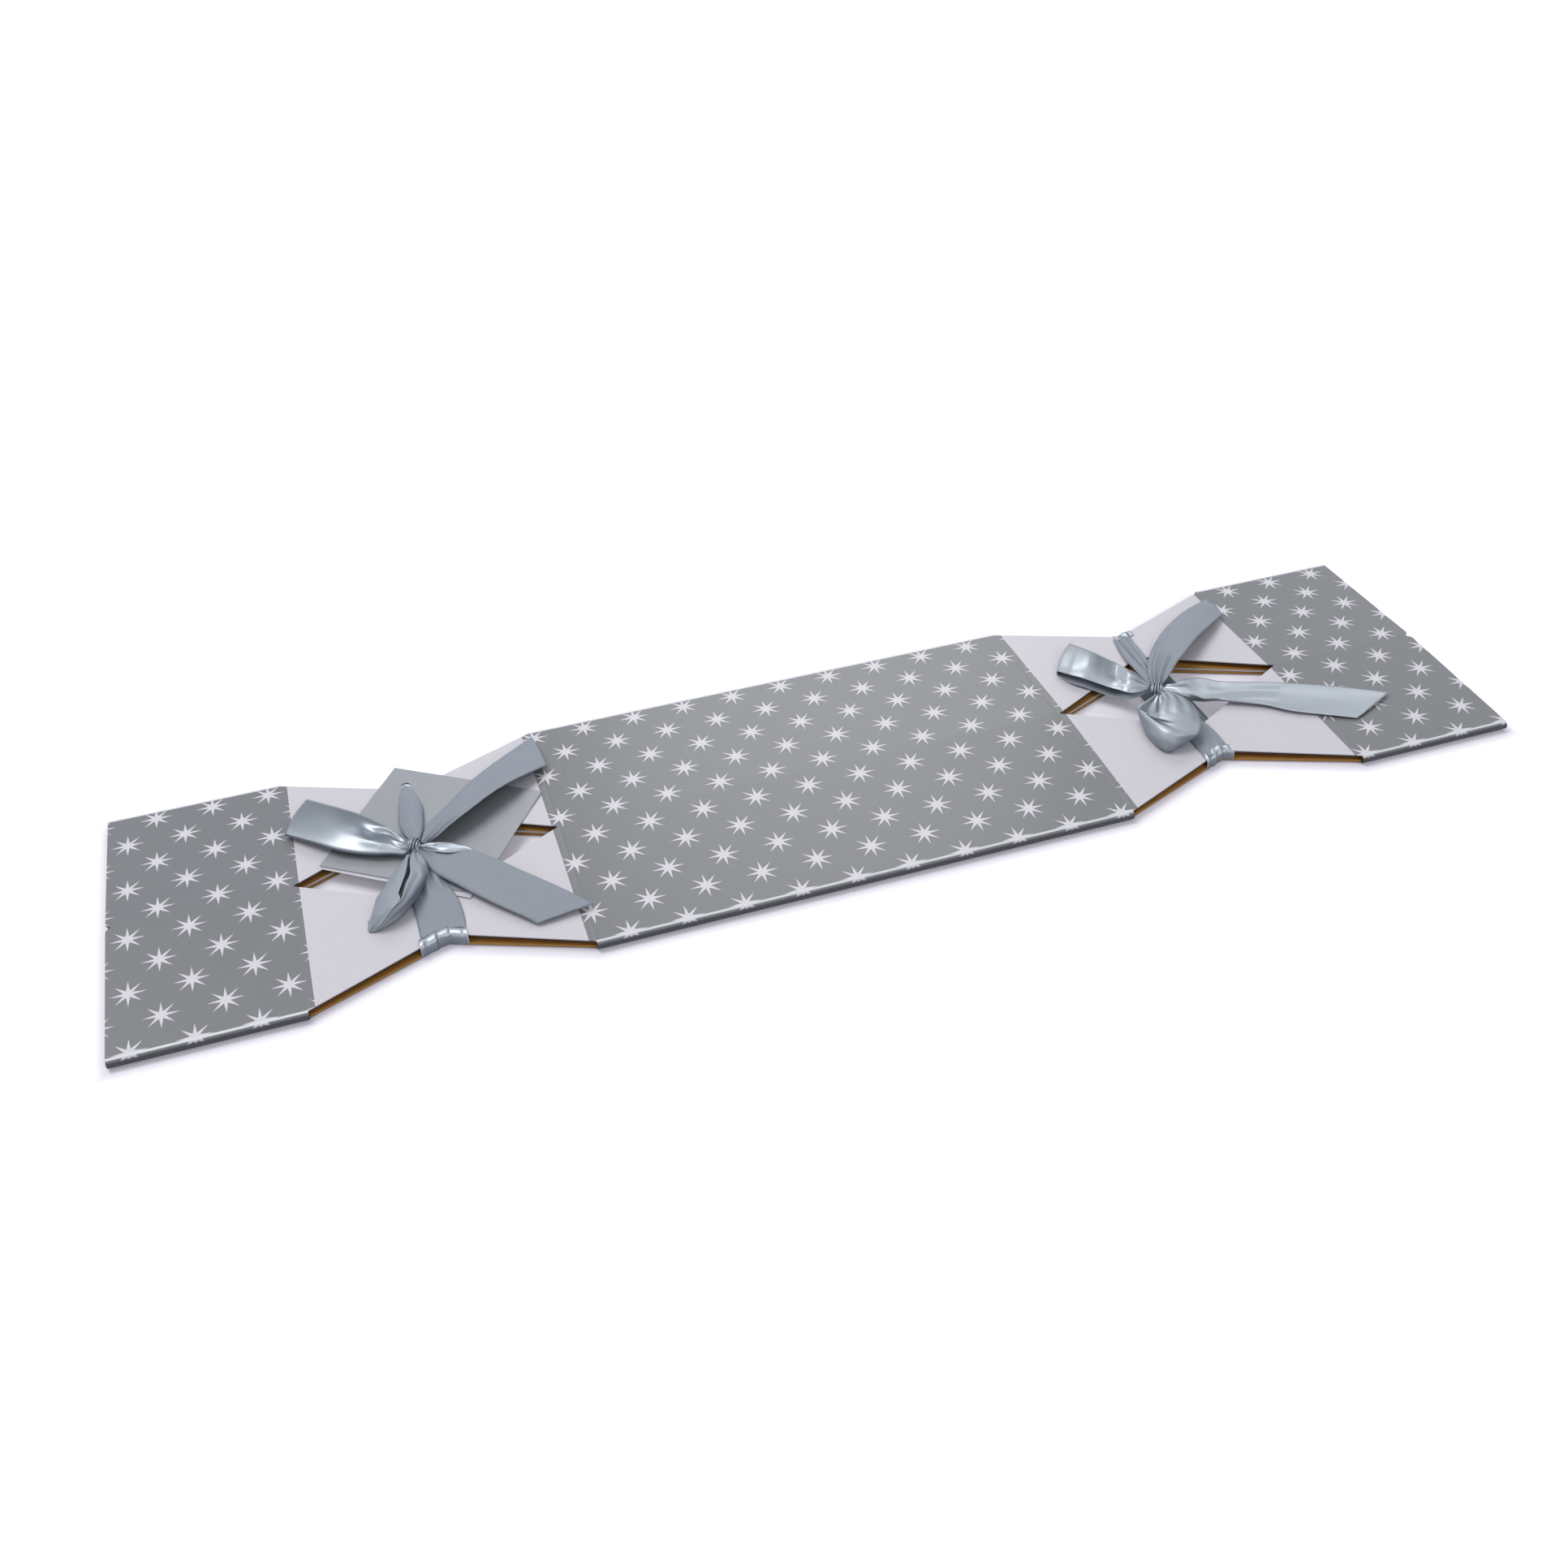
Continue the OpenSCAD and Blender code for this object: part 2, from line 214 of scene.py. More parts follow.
def star(along, across):
    """Full inside an eight-pointed star about 0, 0, in pitches."""
    step = math.pi / 4
    angle = across.math("ARCTAN2", along) + (step / 2 + 2 * math.pi)
    angle = (angle.math("MODULO", step) - step / 2).math("ABSOLUTE")
    reach = (along * along + across * across).math("SQRT")
    waist_x = STAR_WAIST * math.cos(step / 2)
    waist_y = STAR_WAIST * math.sin(step / 2)
    slope = math.hypot(STAR_TIP - waist_x, waist_y)
    outside = (reach * angle.math("COSINE") - STAR_TIP) * (waist_y / slope)
    outside = outside + reach * angle.math("SINE") * ((STAR_TIP - waist_x) / slope)
    return 1 - outside.above(0, 0.006)


def nearest(value, step):
    """Distance from the nearest whole step."""
    return value - (value / step).math("ROUND") * step


board_paint, w, shader = material("printed_board", Specular_IOR_Level=0.32, Coat_Roughness=0.12)
flat = w.node("ShaderNodeUVMap", {"uv_map": "flat"})
x, y, _ = flat.parts()
ply = w.node("ShaderNodeAttribute", {"attribute_name": "ply"}, out="Fac")
u = x / STAR_PITCH - FIRST_STAR[0]
v = y / STAR_PITCH - FIRST_STAR[1]
stars = star(nearest(u, 1), nearest(v, 2 * ROW_STEP))
stars = stars.math("MAXIMUM", star(nearest(u - 0.5, 1), nearest(v - ROW_STEP, 2 * ROW_STEP)))
far_x = x.math("ABSOLUTE")
printed = 1 - far_x.above(BODY_X + PRINT_LAP, 0.0001) * (1 - far_x.above(END_X - PRINT_LAP, 0.0001))
grey = printed * (1 - stars)
place = w.node("ShaderNodeTexCoord", out="Object")
cloudy = w.node("ShaderNodeTexNoise", i0=place, Scale=9.0, Detail=3.0)
fibre = w.node("ShaderNodeTexNoise", i0=place, Scale=1400.0, Detail=2.0)
streak_map = w.node("ShaderNodeMapping", Vector=place, Scale=(30, 900, 900))
streaks = w.node("ShaderNodeTexNoise", i0=streak_map, Scale=1.0, Detail=3.0)
print_colour = (cloudy * 0.5 + streaks * 0.5).blend((0.204, 0.209, 0.220, 1), (0.234, 0.239, 0.252, 1))
white = fibre.blend((0.665, 0.642, 0.682, 1), (0.700, 0.677, 0.717, 1))
paper = printed.blend(white, (0.745, 0.725, 0.765, 1))
# Painted highlight and painted shade on each side fold: a pale glint along its crest and a dark line over its
# lower half, where it turns from the light.
past_fold = y.math("ABSOLUTE") - SIDE
glint = past_fold.above(PAINTED_GLINT_BAND[0], 0.0005) * (1 - past_fold.above(PAINTED_GLINT_BAND[1], 0.0007))
shade = past_fold.above(PAINTED_SHADE_BAND[0], 0.0010) * (1 - past_fold.above(PAINTED_SHADE_BAND[1], 0.0006))
face_with_painted_glint = glint.blend(grey.blend(paper, print_colour), (0.80, 0.81, 0.83, 1))
face = shade.blend(face_with_painted_glint, (0.085, 0.087, 0.095, 1))
brown_map = w.node("ShaderNodeMapping", Vector=place, Scale=(160, 900, 900))
brown_fibre = w.node("ShaderNodeTexNoise", i0=brown_map, Scale=1.0, Detail=4.0)
kraft = brown_fibre.blend((0.36, 0.170, 0.035, 1), (0.52, 0.275, 0.075, 1))
# Painted shade: the board's brown core, seen on the upper layer's cut edges, is painted almost black for the
# dark gap under them; faces and lower edges keep kraft brown.
core_in_painted_shade = brown_fibre.blend((0.012, 0.008, 0.006, 1), (0.030, 0.018, 0.010, 1))
brown = ply.above(CORE_PLY, 0.05).blend(core_in_painted_shade, kraft)
inside = ply.above(FACE_PLY, 0.02)
feed(shader, Base_Color=inside.blend(face, brown),
     Roughness=(inside * 0.45 + (1 - inside) * (0.42 - 0.1 * grey)) + (streaks - 0.5) * 0.12,
     Coat_Weight=(1 - inside) * 0.06)
bump = w.node("ShaderNodeBump", Strength=0.25, Distance=0.00008,
              Height=fibre * (1 - grey * 0.7) + inside * brown_fibre * 2)
feed(shader, Normal=bump)

BOARD, LOW_Z, UP_Z = 0.0015, 0.0004, 0.0039
MID_Z = LOW_Z + BOARD + (UP_Z - LOW_Z - BOARD) / 2
FOLD_OUT = UP_Z + BOARD - MID_Z
CREASE_HALF, BOTTOM_GAP = 0.0015, 0.00015
UPPER_SIDE_CUT, LOWER_SIDE_CUT = 0.0290, 0.0272
CENTRE_CUT, BACK_CENTRE_CUT, CUT_ROUND = 0.036, 0.0285, 0.0012
NOTCH, NOTCH_ROUND = 0.00265, 0.0002
SCORE, SCORE_DEEP = 0.0016, 0.00005
RIDGE = 0.0020


def cutter(x, y, half_x, half_y, rounding):
    """An upright diamond that cuts through both layers, its corners slightly rounded."""
    clear_selection()
    bpy.ops.mesh.primitive_cylinder_add(vertices=4, radius=1, depth=0.03, location=(x, y, 0))
    made = bpy.context.object
    made.scale = (half_x, half_y, 1)
    bpy.ops.object.transform_apply(location=True, rotation=True, scale=True)
    bpy.ops.object.mode_set(mode="EDIT")
    bpy.ops.mesh.select_all(action="DESELECT")
    bpy.ops.object.mode_set(mode="OBJECT")
    for edge in made.data.edges:
        a, b = (made.data.vertices[i].co for i in edge.vertices)
        edge.select = abs(a.z - b.z) > 0.01
    bpy.ops.object.mode_set(mode="EDIT")
    bpy.ops.mesh.bevel(offset=rounding, segments=3, affect="EDGES")
    bpy.ops.object.mode_set(mode="OBJECT")
    return made


def neck_cutters(y, deep):
    """The cut-outs of both necks at one crease."""
    return [cutter(s * WAIST_X, y, NECK / 2, deep, CUT_ROUND) for s in (-1, 1)]


def notch_cutters():
    """The thumb notches at the middle of both open ends."""
    return [cutter(s * TIP_X, 0, NOTCH, NOTCH, NOTCH_ROUND) for s in (-1, 1)]


def pick(piece):
    clear_selection()
    piece.select_set(True)
    bpy.context.view_layer.objects.active = piece


def apply_all(piece):
    pick(piece)
    for modifier in list(piece.modifiers):
        bpy.ops.object.modifier_apply(modifier=modifier.name)


def cut(piece, tools):
    for tool in tools:
        modifier = piece.modifiers.new("cut", "BOOLEAN")
        modifier.operation, modifier.solver, modifier.object = "DIFFERENCE", "EXACT", tool
        apply_all(piece)
    clear_selection()
    for tool in tools:
        tool.select_set(True)
    bpy.ops.object.delete()


def slice_across(piece, way, places):
    """Cuts the piece's faces at places along a way, x or y, and keeps both sides."""
    pick(piece)
    bpy.ops.object.mode_set(mode="EDIT")
    for place in places:
        bpy.ops.mesh.select_all(action="SELECT")
        bpy.ops.mesh.bisect(plane_co=Vector(way) * place, plane_no=way)
    bpy.ops.object.mode_set(mode="OBJECT")


def slab(name, near, far, low, high):
    """A flat board over the blank's whole length, between two places across it and two heights."""
    clear_selection()
    bpy.ops.mesh.primitive_cube_add(size=1, location=(0, (near + far) / 2, (low + high) / 2))
    made = bpy.context.object
    made.name = name
    made.scale = (2 * TIP_X, far - near, high - low)
    bpy.ops.object.transform_apply(location=True, rotation=True, scale=True)
    return made


def score(piece, outer, inward):
    """Presses the cross creases at the ends of each neck a little into the outer face."""
    creases = [s * x for s in (-1, 1) for x in (BODY_X, END_X)]
    slice_across(piece, (1, 0, 0), [x + d for x in creases for d in (-SCORE, 0, SCORE)])
    for vertex in piece.data.vertices:
        on_crease = min(abs(vertex.co.x - x) for x in creases) < 1e-5
        if on_crease and abs(vertex.co.z - outer) < 1e-5:
            vertex.co.z += inward * SCORE_DEEP


def across_flat(y, z):
    """Where a point of the folded blank lies across the flat one, measured on its outer face."""
    side = 1 if y > 0 else -1
    if abs(y) <= SIDE + 1e-6:
        return y if z > MID_Z else side * (2 * SIDE + math.pi * FOLD_OUT - abs(y))
    turned = math.atan2(abs(y) - SIDE, z - MID_Z)
    return side * (SIDE + FOLD_OUT * turned)


def depth(y, z):
    """0 on the blank's outer face, 1 on its inner face."""
    if abs(y) > SIDE + 1e-6:
        reach = math.hypot(abs(y) - SIDE, z - MID_Z)
        return (FOLD_OUT - reach) / BOARD
    return (abs(z - MID_Z) - FOLD_OUT) / -BOARD


def lift(y):
    """How far the springy upper layer stands up towards its centre crease."""
    return RIDGE * max(0.0, 1 - abs(y) / SIDE)


def finish_board(piece, ply_at=depth):
    """Maps the piece onto the flat blank, marks its plies, raises the upper layer and shades it."""
    mesh = piece.data
    layer = mesh.uv_layers.active or mesh.uv_layers.new()
    layer.name = "flat"
    for loop in mesh.loops:
        co = mesh.vertices[loop.vertex_index].co
        layer.data[loop.index].uv = (co.x, across_flat(co.y, co.z))
    ply = mesh.attributes.new("ply", "FLOAT", "POINT")
    for i, vertex in enumerate(mesh.vertices):
        ply.data[i].value = ply_at(vertex.co.y, vertex.co.z)
    for vertex in mesh.vertices:
        if vertex.co.z > UP_Z - 0.0001 and abs(vertex.co.y) < SIDE:
            vertex.co.z += lift(vertex.co.y)
    mesh.materials.clear()
    mesh.materials.append(board_paint)


def lower_depth(y, z):
    """The lower panels' cut edges show brown over all but their lowest part."""
    return 5.0 if z > LOW_Z + BOARD / 2 else 0.0


def panel(name, body, side, upper):
    low = UP_Z if upper else LOW_Z
    near, far = sorted((side * (CREASE_HALF if upper else BOTTOM_GAP), side * SIDE))
    made = slab(name, near, far, low, low + BOARD)
    tools = neck_cutters(0, BACK_CENTRE_CUT if name == "blank_back" else CENTRE_CUT)
    tools += neck_cutters(side * SIDE, UPPER_SIDE_CUT if upper else LOWER_SIDE_CUT)
    cut(made, tools + notch_cutters())
    outer = low + BOARD if upper else low
    score(made, outer, -1 if upper else 1)
    finish_board(made, ply_at=depth if upper else lower_depth)
    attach(made, body)
    segments = ("body", "left_neck", "right_neck", "left_end", "right_end")
    stem = body.replace("_panel", "_")
    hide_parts(*[stem + s + "_board" for s in segments],
                *[stem + s + "_print" for s in segments if "neck" not in s])


panel("blank_top", "top_panel", 1, True)
panel("blank_front", "front_panel", -1, True)
panel("blank_back", "back_panel", 1, False)
panel("blank_floor", "floor_panel", -1, False)

# Glue flap
# The blank's fifth strip of the same board, folded in along the bottom crease.
# It is glued inside the back panel, brown side up, and shows as a second step in each diamond.
FLAP_NEAR, FLAP_FAR, FLAP_LOW, FLAP_HIGH, FLAP_CUT = 0.0006, 0.045, 0.0022, 0.0035, 0.0298
flap = slab("glue_flap", FLAP_NEAR, FLAP_FAR, FLAP_LOW, FLAP_HIGH)
cut(flap, neck_cutters(0, FLAP_CUT))
finish_board(flap, ply_at=lambda y, z: 1.0 if z > (FLAP_LOW + FLAP_HIGH) / 2 else -4.0)
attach(flap, "back_panel")

# Side creases
# The board turns over in a round fold along both sides of the middle and of each end.
# Each fold opens with the crease; here it is baked in place and attached to neither panel that it joins.
FOLD_STEPS = 20


def side_fold(name, side):
    strips = []
    for start, stop in ((-TIP_X, -END_X), (-BODY_X, BODY_X), (END_X, TIP_X)):
        clear_selection()
        bpy.ops.mesh.primitive_plane_add(size=1, location=(0, 0, 0))
        strip = bpy.context.object
        strip.scale = (stop - start, BOARD, 1)
        strip.rotation_euler = (math.pi / 2, 0, 0)
        strip.location = ((start + stop) / 2, side * SIDE, UP_Z + BOARD / 2)
        bpy.ops.object.transform_apply(location=True, rotation=True, scale=True)
        bpy.ops.object.mode_set(mode="EDIT")
        bpy.ops.mesh.select_all(action="SELECT")
        bpy.ops.mesh.spin(steps=FOLD_STEPS, angle=math.pi, center=(0, side * SIDE, MID_Z),
                          axis=(side, 0, 0))
        bpy.ops.mesh.select_all(action="SELECT")
        bpy.ops.mesh.remove_doubles(threshold=1e-6)
        bpy.ops.mesh.normals_make_consistent(inside=False)
        bpy.ops.object.mode_set(mode="OBJECT")
        strips.append(strip)
    clear_selection()
    for strip in strips:
        strip.select_set(True)
    bpy.context.view_layer.objects.active = strips[0]
    bpy.ops.object.join()
    made = bpy.context.object
    made.name = name
    bpy.ops.object.shade_smooth_by_angle(angle=math.radians(30))
    finish_board(made)
    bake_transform(made)


side_fold("near_fold", -1)
side_fold("far_fold", 1)

# Centre crease
# The narrow strip of the same board that bends where the front and top panels meet.
# It runs along the middle and each end, and is baked in place, attached to neither panel.
centre = slab("centre_crease_strip", -CREASE_HALF, CREASE_HALF, UP_Z, UP_Z + BOARD)
cut(centre, neck_cutters(0, CENTRE_CUT) + notch_cutters())
slice_across(centre, (0, 1, 0), (-CREASE_HALF / 2, 0, CREASE_HALF / 2))
score(centre, UP_Z + BOARD, -1)
finish_board(centre)
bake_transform(centre)

# Left bow
# One length of single-faced satin ribbon, shining on one side and dull on the other, with fine threads along
# it and a row of tiny woven loops on each edge. It comes up through the tag's hole and is knotted over the
# neck, with two loops and two tails. Each part runs through places seen in the photograph.
RIBBON, RIBBON_T, PLEAT_DRIFT = 0.025, 0.0003, 0.15
PAINTED_SHEEN_TOWARDS, TILT_GAIN = Vector((-0.79, -0.61, 0)), 2.2
PICOT_PITCH = 0.0013

satin, w, shader = material("satin_ribbon", Specular_IOR_Level=0.6)
weave = w.node("ShaderNodeUVMap", {"uv_map": "weave"})
across, along, _ = weave.parts()
shine = w.node("ShaderNodeAttribute", {"attribute_name": "shine"}, out="Fac")
painted_sheen = w.node("ShaderNodeAttribute", {"attribute_name": "painted_sheen"}, out="Fac")
place = w.node("ShaderNodeTexCoord", out="Object")
thread_map = w.node("ShaderNodeMapping", Vector=weave, Scale=(5200, 140, 1))
threads = w.node("ShaderNodeTexNoise", i0=thread_map, Scale=1.0, Detail=2.0)
pick_map = w.node("ShaderNodeMapping", Vector=weave, Scale=(160, 2600, 1))
picks = w.node("ShaderNodeTexNoise", i0=pick_map, Scale=1.0, Detail=1.0)
cloudy = w.node("ShaderNodeTexNoise", i0=place, Scale=70.0, Detail=3.0)
from_edge = RIBBON / 2 - (across - RIBBON / 2).math("ABSOLUTE")
selvedge = 1 - from_edge.above(0.0007, 0.0004)
picot = (along * (2 * math.pi / PICOT_PITCH)).math("SINE") * 0.5 + 0.5
# The woven loops along the shining side's edges: tiny bumps, painted pale as a painted highlight where they
# catch the light.
picot_loops_painted_glint = selvedge * picot.above(0.6, 0.3) * shine
dull_colour = (threads * 0.6 + cloudy * 0.4).blend((0.228, 0.256, 0.300, 1), (0.292, 0.325, 0.377, 1))
# Painted sheen and painted shade: a value stored on each vertex from its tilt towards the lamps runs the
# shining side's colour from dark to bright.
painted_sheen_tone = painted_sheen * 0.9 + threads * 0.05 + cloudy * 0.05
shiny_side_painted_colour = painted_sheen_tone.blend((0.115, 0.140, 0.175, 1), (0.475, 0.515, 0.555, 1))
cloth = shine.blend(dull_colour, shiny_side_painted_colour)
feed(shader, Base_Color=picot_loops_painted_glint.blend(cloth, (0.72, 0.76, 0.80, 1)),
     Roughness=0.54 - shine * 0.22 + (threads - 0.5) * 0.05, Metallic=shine * 0.42)
bump = w.node("ShaderNodeBump", Strength=0.16, Distance=0.00006, Height=threads + picks * 0.5 + picot_loops_painted_glint)
feed(shader, Normal=bump)


def through(points, places):
    """A smooth curve through rows of numbers, at places counted in rows."""
    points = np.asarray(points, float)
    if len(points) == 2:
        points = np.stack([points[0], (points[0] + points[1]) / 2, points[1]])
        places = places * 2
    padded = np.concatenate([[2 * points[0] - points[1]], points, [2 * points[-1] - points[-2]]])
    start = np.clip(np.floor(places).astype(int), 0, len(points) - 2)
    t = (places - start).reshape((-1,) + (1,) * (points.ndim - 1))
    a, b, c, d = (padded[start + i] for i in range(4))
    return b + 0.5 * t * (c - a + t * (2 * a - 5 * b + 4 * c - d + t * (3 * (b - c) + d - a)))


def ribbon(name, rows, columns=19, step=0.0012, shine=(0, 1), gather=(3, 0.0012, 0.2), held="folded",
           rests_on=(), crinkle=0.0, lit=0.36):
    """A ribbon through rows of points across it, in metres. Where a row is narrower than the ribbon, the spare
    width goes into pleats: gather is their number, most height and start. shine is for the under and upper
    side, and lit is the painted brightness of upright satin, to which its tilt adds painted sheen or shade."""
    rows = np.array([[tuple(p) for p in row] for row in rows])
    fine = through(rows, np.linspace(0, len(rows) - 1, 400))
    run = np.concatenate([[0], np.cumsum(np.linalg.norm(np.diff(fine.mean(axis=1), axis=0), axis=1))])
    count = max(6, int(run[-1] / step))
    even = np.interp(np.linspace(0, run[-1], count), run, np.linspace(0, len(rows) - 1, 400))
    fine = through(rows, even)
    grid = through(fine.transpose(1, 0, 2), np.linspace(0, fine.shape[1] - 1, columns)).transpose(1, 0, 2)
    distance = np.linspace(0, run[-1], count)
    t = np.linspace(0, 1, columns)
    normal = np.cross(np.gradient(grid, axis=1), np.gradient(grid, axis=0))
    normal /= np.linalg.norm(normal, axis=2, keepdims=True) + 1e-12
    chord = np.linalg.norm(np.diff(grid, axis=1), axis=2).sum(axis=1)
    # A sine pleat as high as the spare width needs, with more for its taper towards both edges
    number, most, shift = gather
    spare = np.sqrt(np.maximum(0, 2.2 * (0.9 * RIBBON / chord - 1)))
    height = np.minimum(most, chord / (math.pi * number) * spare)[:, None]
    wander = distance[:, None] / PLEAT_DRIFT + shift
    push = height * np.sin(2 * math.pi * (number * t[None] + wander)) * np.sin(math.pi * t[None]) ** 0.5
    if crinkle:
        a, b = np.meshgrid(distance * 1000, t * 25, indexing="ij")
        push += crinkle * (np.sin(a * 0.47 + b * 0.31 + 1.3) * np.sin(a * 0.23 - b * 0.42 + 0.5)
                           + 0.5 * np.sin(a * 0.9 + b * 0.2) * np.sin(b * 0.55 + a * 0.13))
    grid = grid + normal * push[..., None]
    # No cloth reaches below the table
    grid[..., 2] = np.maximum(grid[..., 2], RIBBON_T / 2 + 0.00002)
    faces = [(i * columns + j, i * columns + j + 1, (i + 1) * columns + j + 1, (i + 1) * columns + j)
             for i in range(count - 1) for j in range(columns - 1)]
    mesh = bpy.data.meshes.new(name)
    mesh.from_pydata([tuple(p) for p in grid.reshape(-1, 3)], [], faces)
    mesh.update()
    made = bpy.data.objects.new(name, mesh)
    scene.collection.objects.link(made)
    layer = mesh.uv_layers.new(name="weave")
    for loop in mesh.loops:
        i, j = divmod(loop.vertex_index, columns)
        layer.data[loop.index].uv = (RIBBON * t[j], distance[i])
    modifier = made.modifiers.new("thickness", "SOLIDIFY")
    modifier.thickness, modifier.offset = RIBBON_T, 0
    apply_all(made)
    sheen = mesh.attributes.new("shine", "FLOAT", "POINT")
    painted_sheen = mesh.attributes.new("painted_sheen", "FLOAT", "POINT")
    for i, vertex in enumerate(mesh.vertices):
        sheen.data[i].value = shine[1] if i < count * columns else shine[0]
        # Painted sheen: parts that face the lamps are stored brighter, and parts tilted away or turned upright
        # are stored darker, as painted shade.
        facing = lit + TILT_GAIN * vertex.normal.dot(PAINTED_SHEEN_TOWARDS)
        painted_sheen.data[i].value = min(1, max(0, facing)) * min(1, max(0.4, 1.5 * vertex.normal.z))
    mesh.polygons.foreach_set("use_smooth", [True] * len(mesh.polygons))
    mesh.materials.append(satin)
    return made


def pixels(rows):
    """Rows of places given as pixel, pixel and height in millimetres."""
    return [[seen(*p) for p in row] for row in rows]


PRESSED = 0.0009


def loop_rows(rows, floor, far_gap, near_gap, end_gap, nearer=0.0):
    """A flat bow loop: the given rows from the knot to the end for its upper ply, and back under it. The gaps
    between the plies are at its far edge, near edge and end, and nearer moves the lower ply's near edge."""
    upper = [[Vector(p) for p in row] for row in rows]
    last = len(upper[0]) - 1

    def under(row, share):
        opening = math.sin(math.pi * share)
        shut = PRESSED + (end_gap - PRESSED) * share ** 2
        drops = [shut + ((1 - j / last) * far_gap + j / last * near_gap) * opening for j in range(last + 1)]
        return [Vector((p.x, p.y - nearer * opening * j / last, max(floor, p.z - drop)))
                for j, (p, drop) in enumerate(zip(row, drops))]

    turn = []
    outward = [(a - b).normalized() for a, b in zip(upper[-1], upper[-2])]
    for angle in (45, 90, 135):
        row = []
        for p, low, o in zip(upper[-1], under(upper[-1], 1), outward):
            radius = (p.z - low.z) / 2
            flat_out = Vector((o.x, o.y, 0)).normalized()
            row.append((p + low) / 2 + flat_out * radius * math.sin(math.radians(angle))
                       + Vector((0, 0, radius * math.cos(math.radians(angle)))))
        turn.append(row)
    steps = len(upper) - 1
    lower = [under(upper[i], i / steps) for i in range(steps, -1, -1)]
    return upper + turn + lower


def bow_part(name, node, rows, carriers, body="top_panel", **settings):
    made = ribbon(name, rows, rests_on=carriers, **settings)
    if body:
        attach(made, body)
    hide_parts(node)
    return made


left_side = pixels([
    [(507, 1037.5, 12.5), (507, 1039, 12.6), (507, 1040.5, 12.6), (506.5, 1042.5, 12.4), (506, 1044.5, 12.0),
     (505.5, 1046.5, 11.4), (505, 1048.5, 10.8)],
    [(495, 1030, 14.5), (495, 1033, 14.6), (495, 1036.5, 14.4), (495, 1040, 14.2), (495, 1044, 13.4),
     (496, 1048, 12.4), (497, 1052, 11.4)],
    [(478, 1019.5, 15.8), (478, 1022, 15.4), (478, 1027.5, 14.0), (478, 1032.5, 14.5), (479, 1037, 14.9),
     (480, 1044, 13.6), (481, 1051, 12.2)],
    [(460, 1010.5, 16.2), (460, 1018, 16.2), (460, 1025.5, 14.6), (460, 1031.5, 15.0), (460, 1037, 15.6),
     (461, 1044, 14.0), (461, 1051.5, 12.4)],
    [(440, 1002, 16.0), (440, 1009.5, 16.3), (440, 1018, 16.2), (439.5, 1026, 15.7), (439, 1033, 15.2),
     (439, 1042, 13.6), (439, 1050, 12.2)],
    [(420, 996, 15.0), (419, 1004, 15.6), (418, 1012, 15.8), (417, 1020, 15.6), (416, 1028, 15.0),
     (415, 1037, 14.0), (414, 1045.5, 12.8)],
    [(401, 991, 13.4), (398, 998.5, 13.8), (396, 1006, 14.0), (394, 1014, 13.9), (392, 1022, 13.6),
     (390, 1030, 13.1), (388, 1037.5, 12.4)],
    [(379, 985, 11.0), (373, 992.5, 11.3), (367, 1000, 11.4), (362, 1008, 11.4), (358, 1015.5, 11.2),
     (355, 1022, 10.9), (353, 1028, 10.4)]])
left_side = loop_rows(left_side, 0.0084, 0.0045, 0.0, 0.0012)
bow_part("left_side_loop", "left_bow_side_loop", left_side, ["tag_front"], shine=(1, 0),
         gather=(3, 0.0003, 0.2), lit=0.15)

left_upper = pixels([
    [(519, 1038, 12), (521, 1039, 13), (524, 1040, 12)],
    [(524, 1021, 12), (531, 1029, 14), (538, 1031, 14.5)],
    [(534, 1008, 11.5), (544, 1015, 15), (554, 1017, 16.5)],
    [(552, 991, 11), (562, 1001, 15.5), (574, 1001, 18)],
    [(575, 967, 10.5), (587, 979, 15.5), (600, 981, 18)],
    [(602, 945, 10.5), (614, 957, 15), (627, 964, 17)],
    [(626, 928, 10), (636, 942, 13), (648, 954, 14)],
    [(655, 908, 9), (665, 924, 10), (674, 943, 9.5)]])
bow_part("left_upper_tail", "left_bow_upper_tail", left_upper, ["tag_front"], shine=(1, 0),
         crinkle=0.00008)

left_near = pixels([
    [(518, 1044.5, 13.0), (518, 1043, 13.2), (518, 1041.5, 12.8), (517.5, 1042.5, 12.2), (517, 1044, 12.0),
     (514.5, 1047.5, 11.2)],
    [(529, 1047.5, 14.0), (529, 1043, 14.8), (528.5, 1038.5, 14.2), (527, 1044, 13.2), (525.5, 1050, 13.0),
     (521, 1058, 11.5)],
    [(545, 1050.5, 14.2), (546, 1044.5, 15.4), (547, 1037.5, 14.8), (544, 1047, 13.4), (540, 1056, 13.2),
     (531, 1072, 11.0)],
    [(561, 1050, 14.0), (563, 1045, 14.8), (565, 1040, 14.4), (560, 1052, 13.4), (554, 1063, 13.0),
     (543, 1080, 10.6)],
    [(579, 1047, 13.6), (580, 1046.5, 13.7), (581, 1046, 13.6), (577, 1059, 13.2), (570, 1073, 12.6),
     (560, 1088.5, 10.2)],
    [(605, 1055.5, 13.0), (603, 1059, 13.0), (601, 1063, 12.9), (596, 1073, 12.6), (591, 1085, 11.8),
     (582, 1100, 9.8)],
    [(640, 1071, 11.8), (636, 1077, 11.8), (631, 1083, 11.7), (626, 1092, 11.4), (620, 1103, 10.8),
     (612, 1114.5, 9.4)],
    [(694, 1095, 10.0), (687, 1101, 10.0), (680, 1107, 9.9), (671, 1114, 9.7), (661, 1120, 9.4),
     (646, 1129.5, 8.6)],
    [(732, 1114, 8.6), (718, 1118.5, 8.6), (706, 1122, 8.6), (692, 1127, 8.4), (678, 1132, 8.2),
     (662, 1138, 7.6)]])
bow_part("left_near_tail", "left_bow_near_tail", left_near, ["tag_front", "blank_front"], shine=(1, 0),
         columns=25, crinkle=0.00008, lit=1.1)

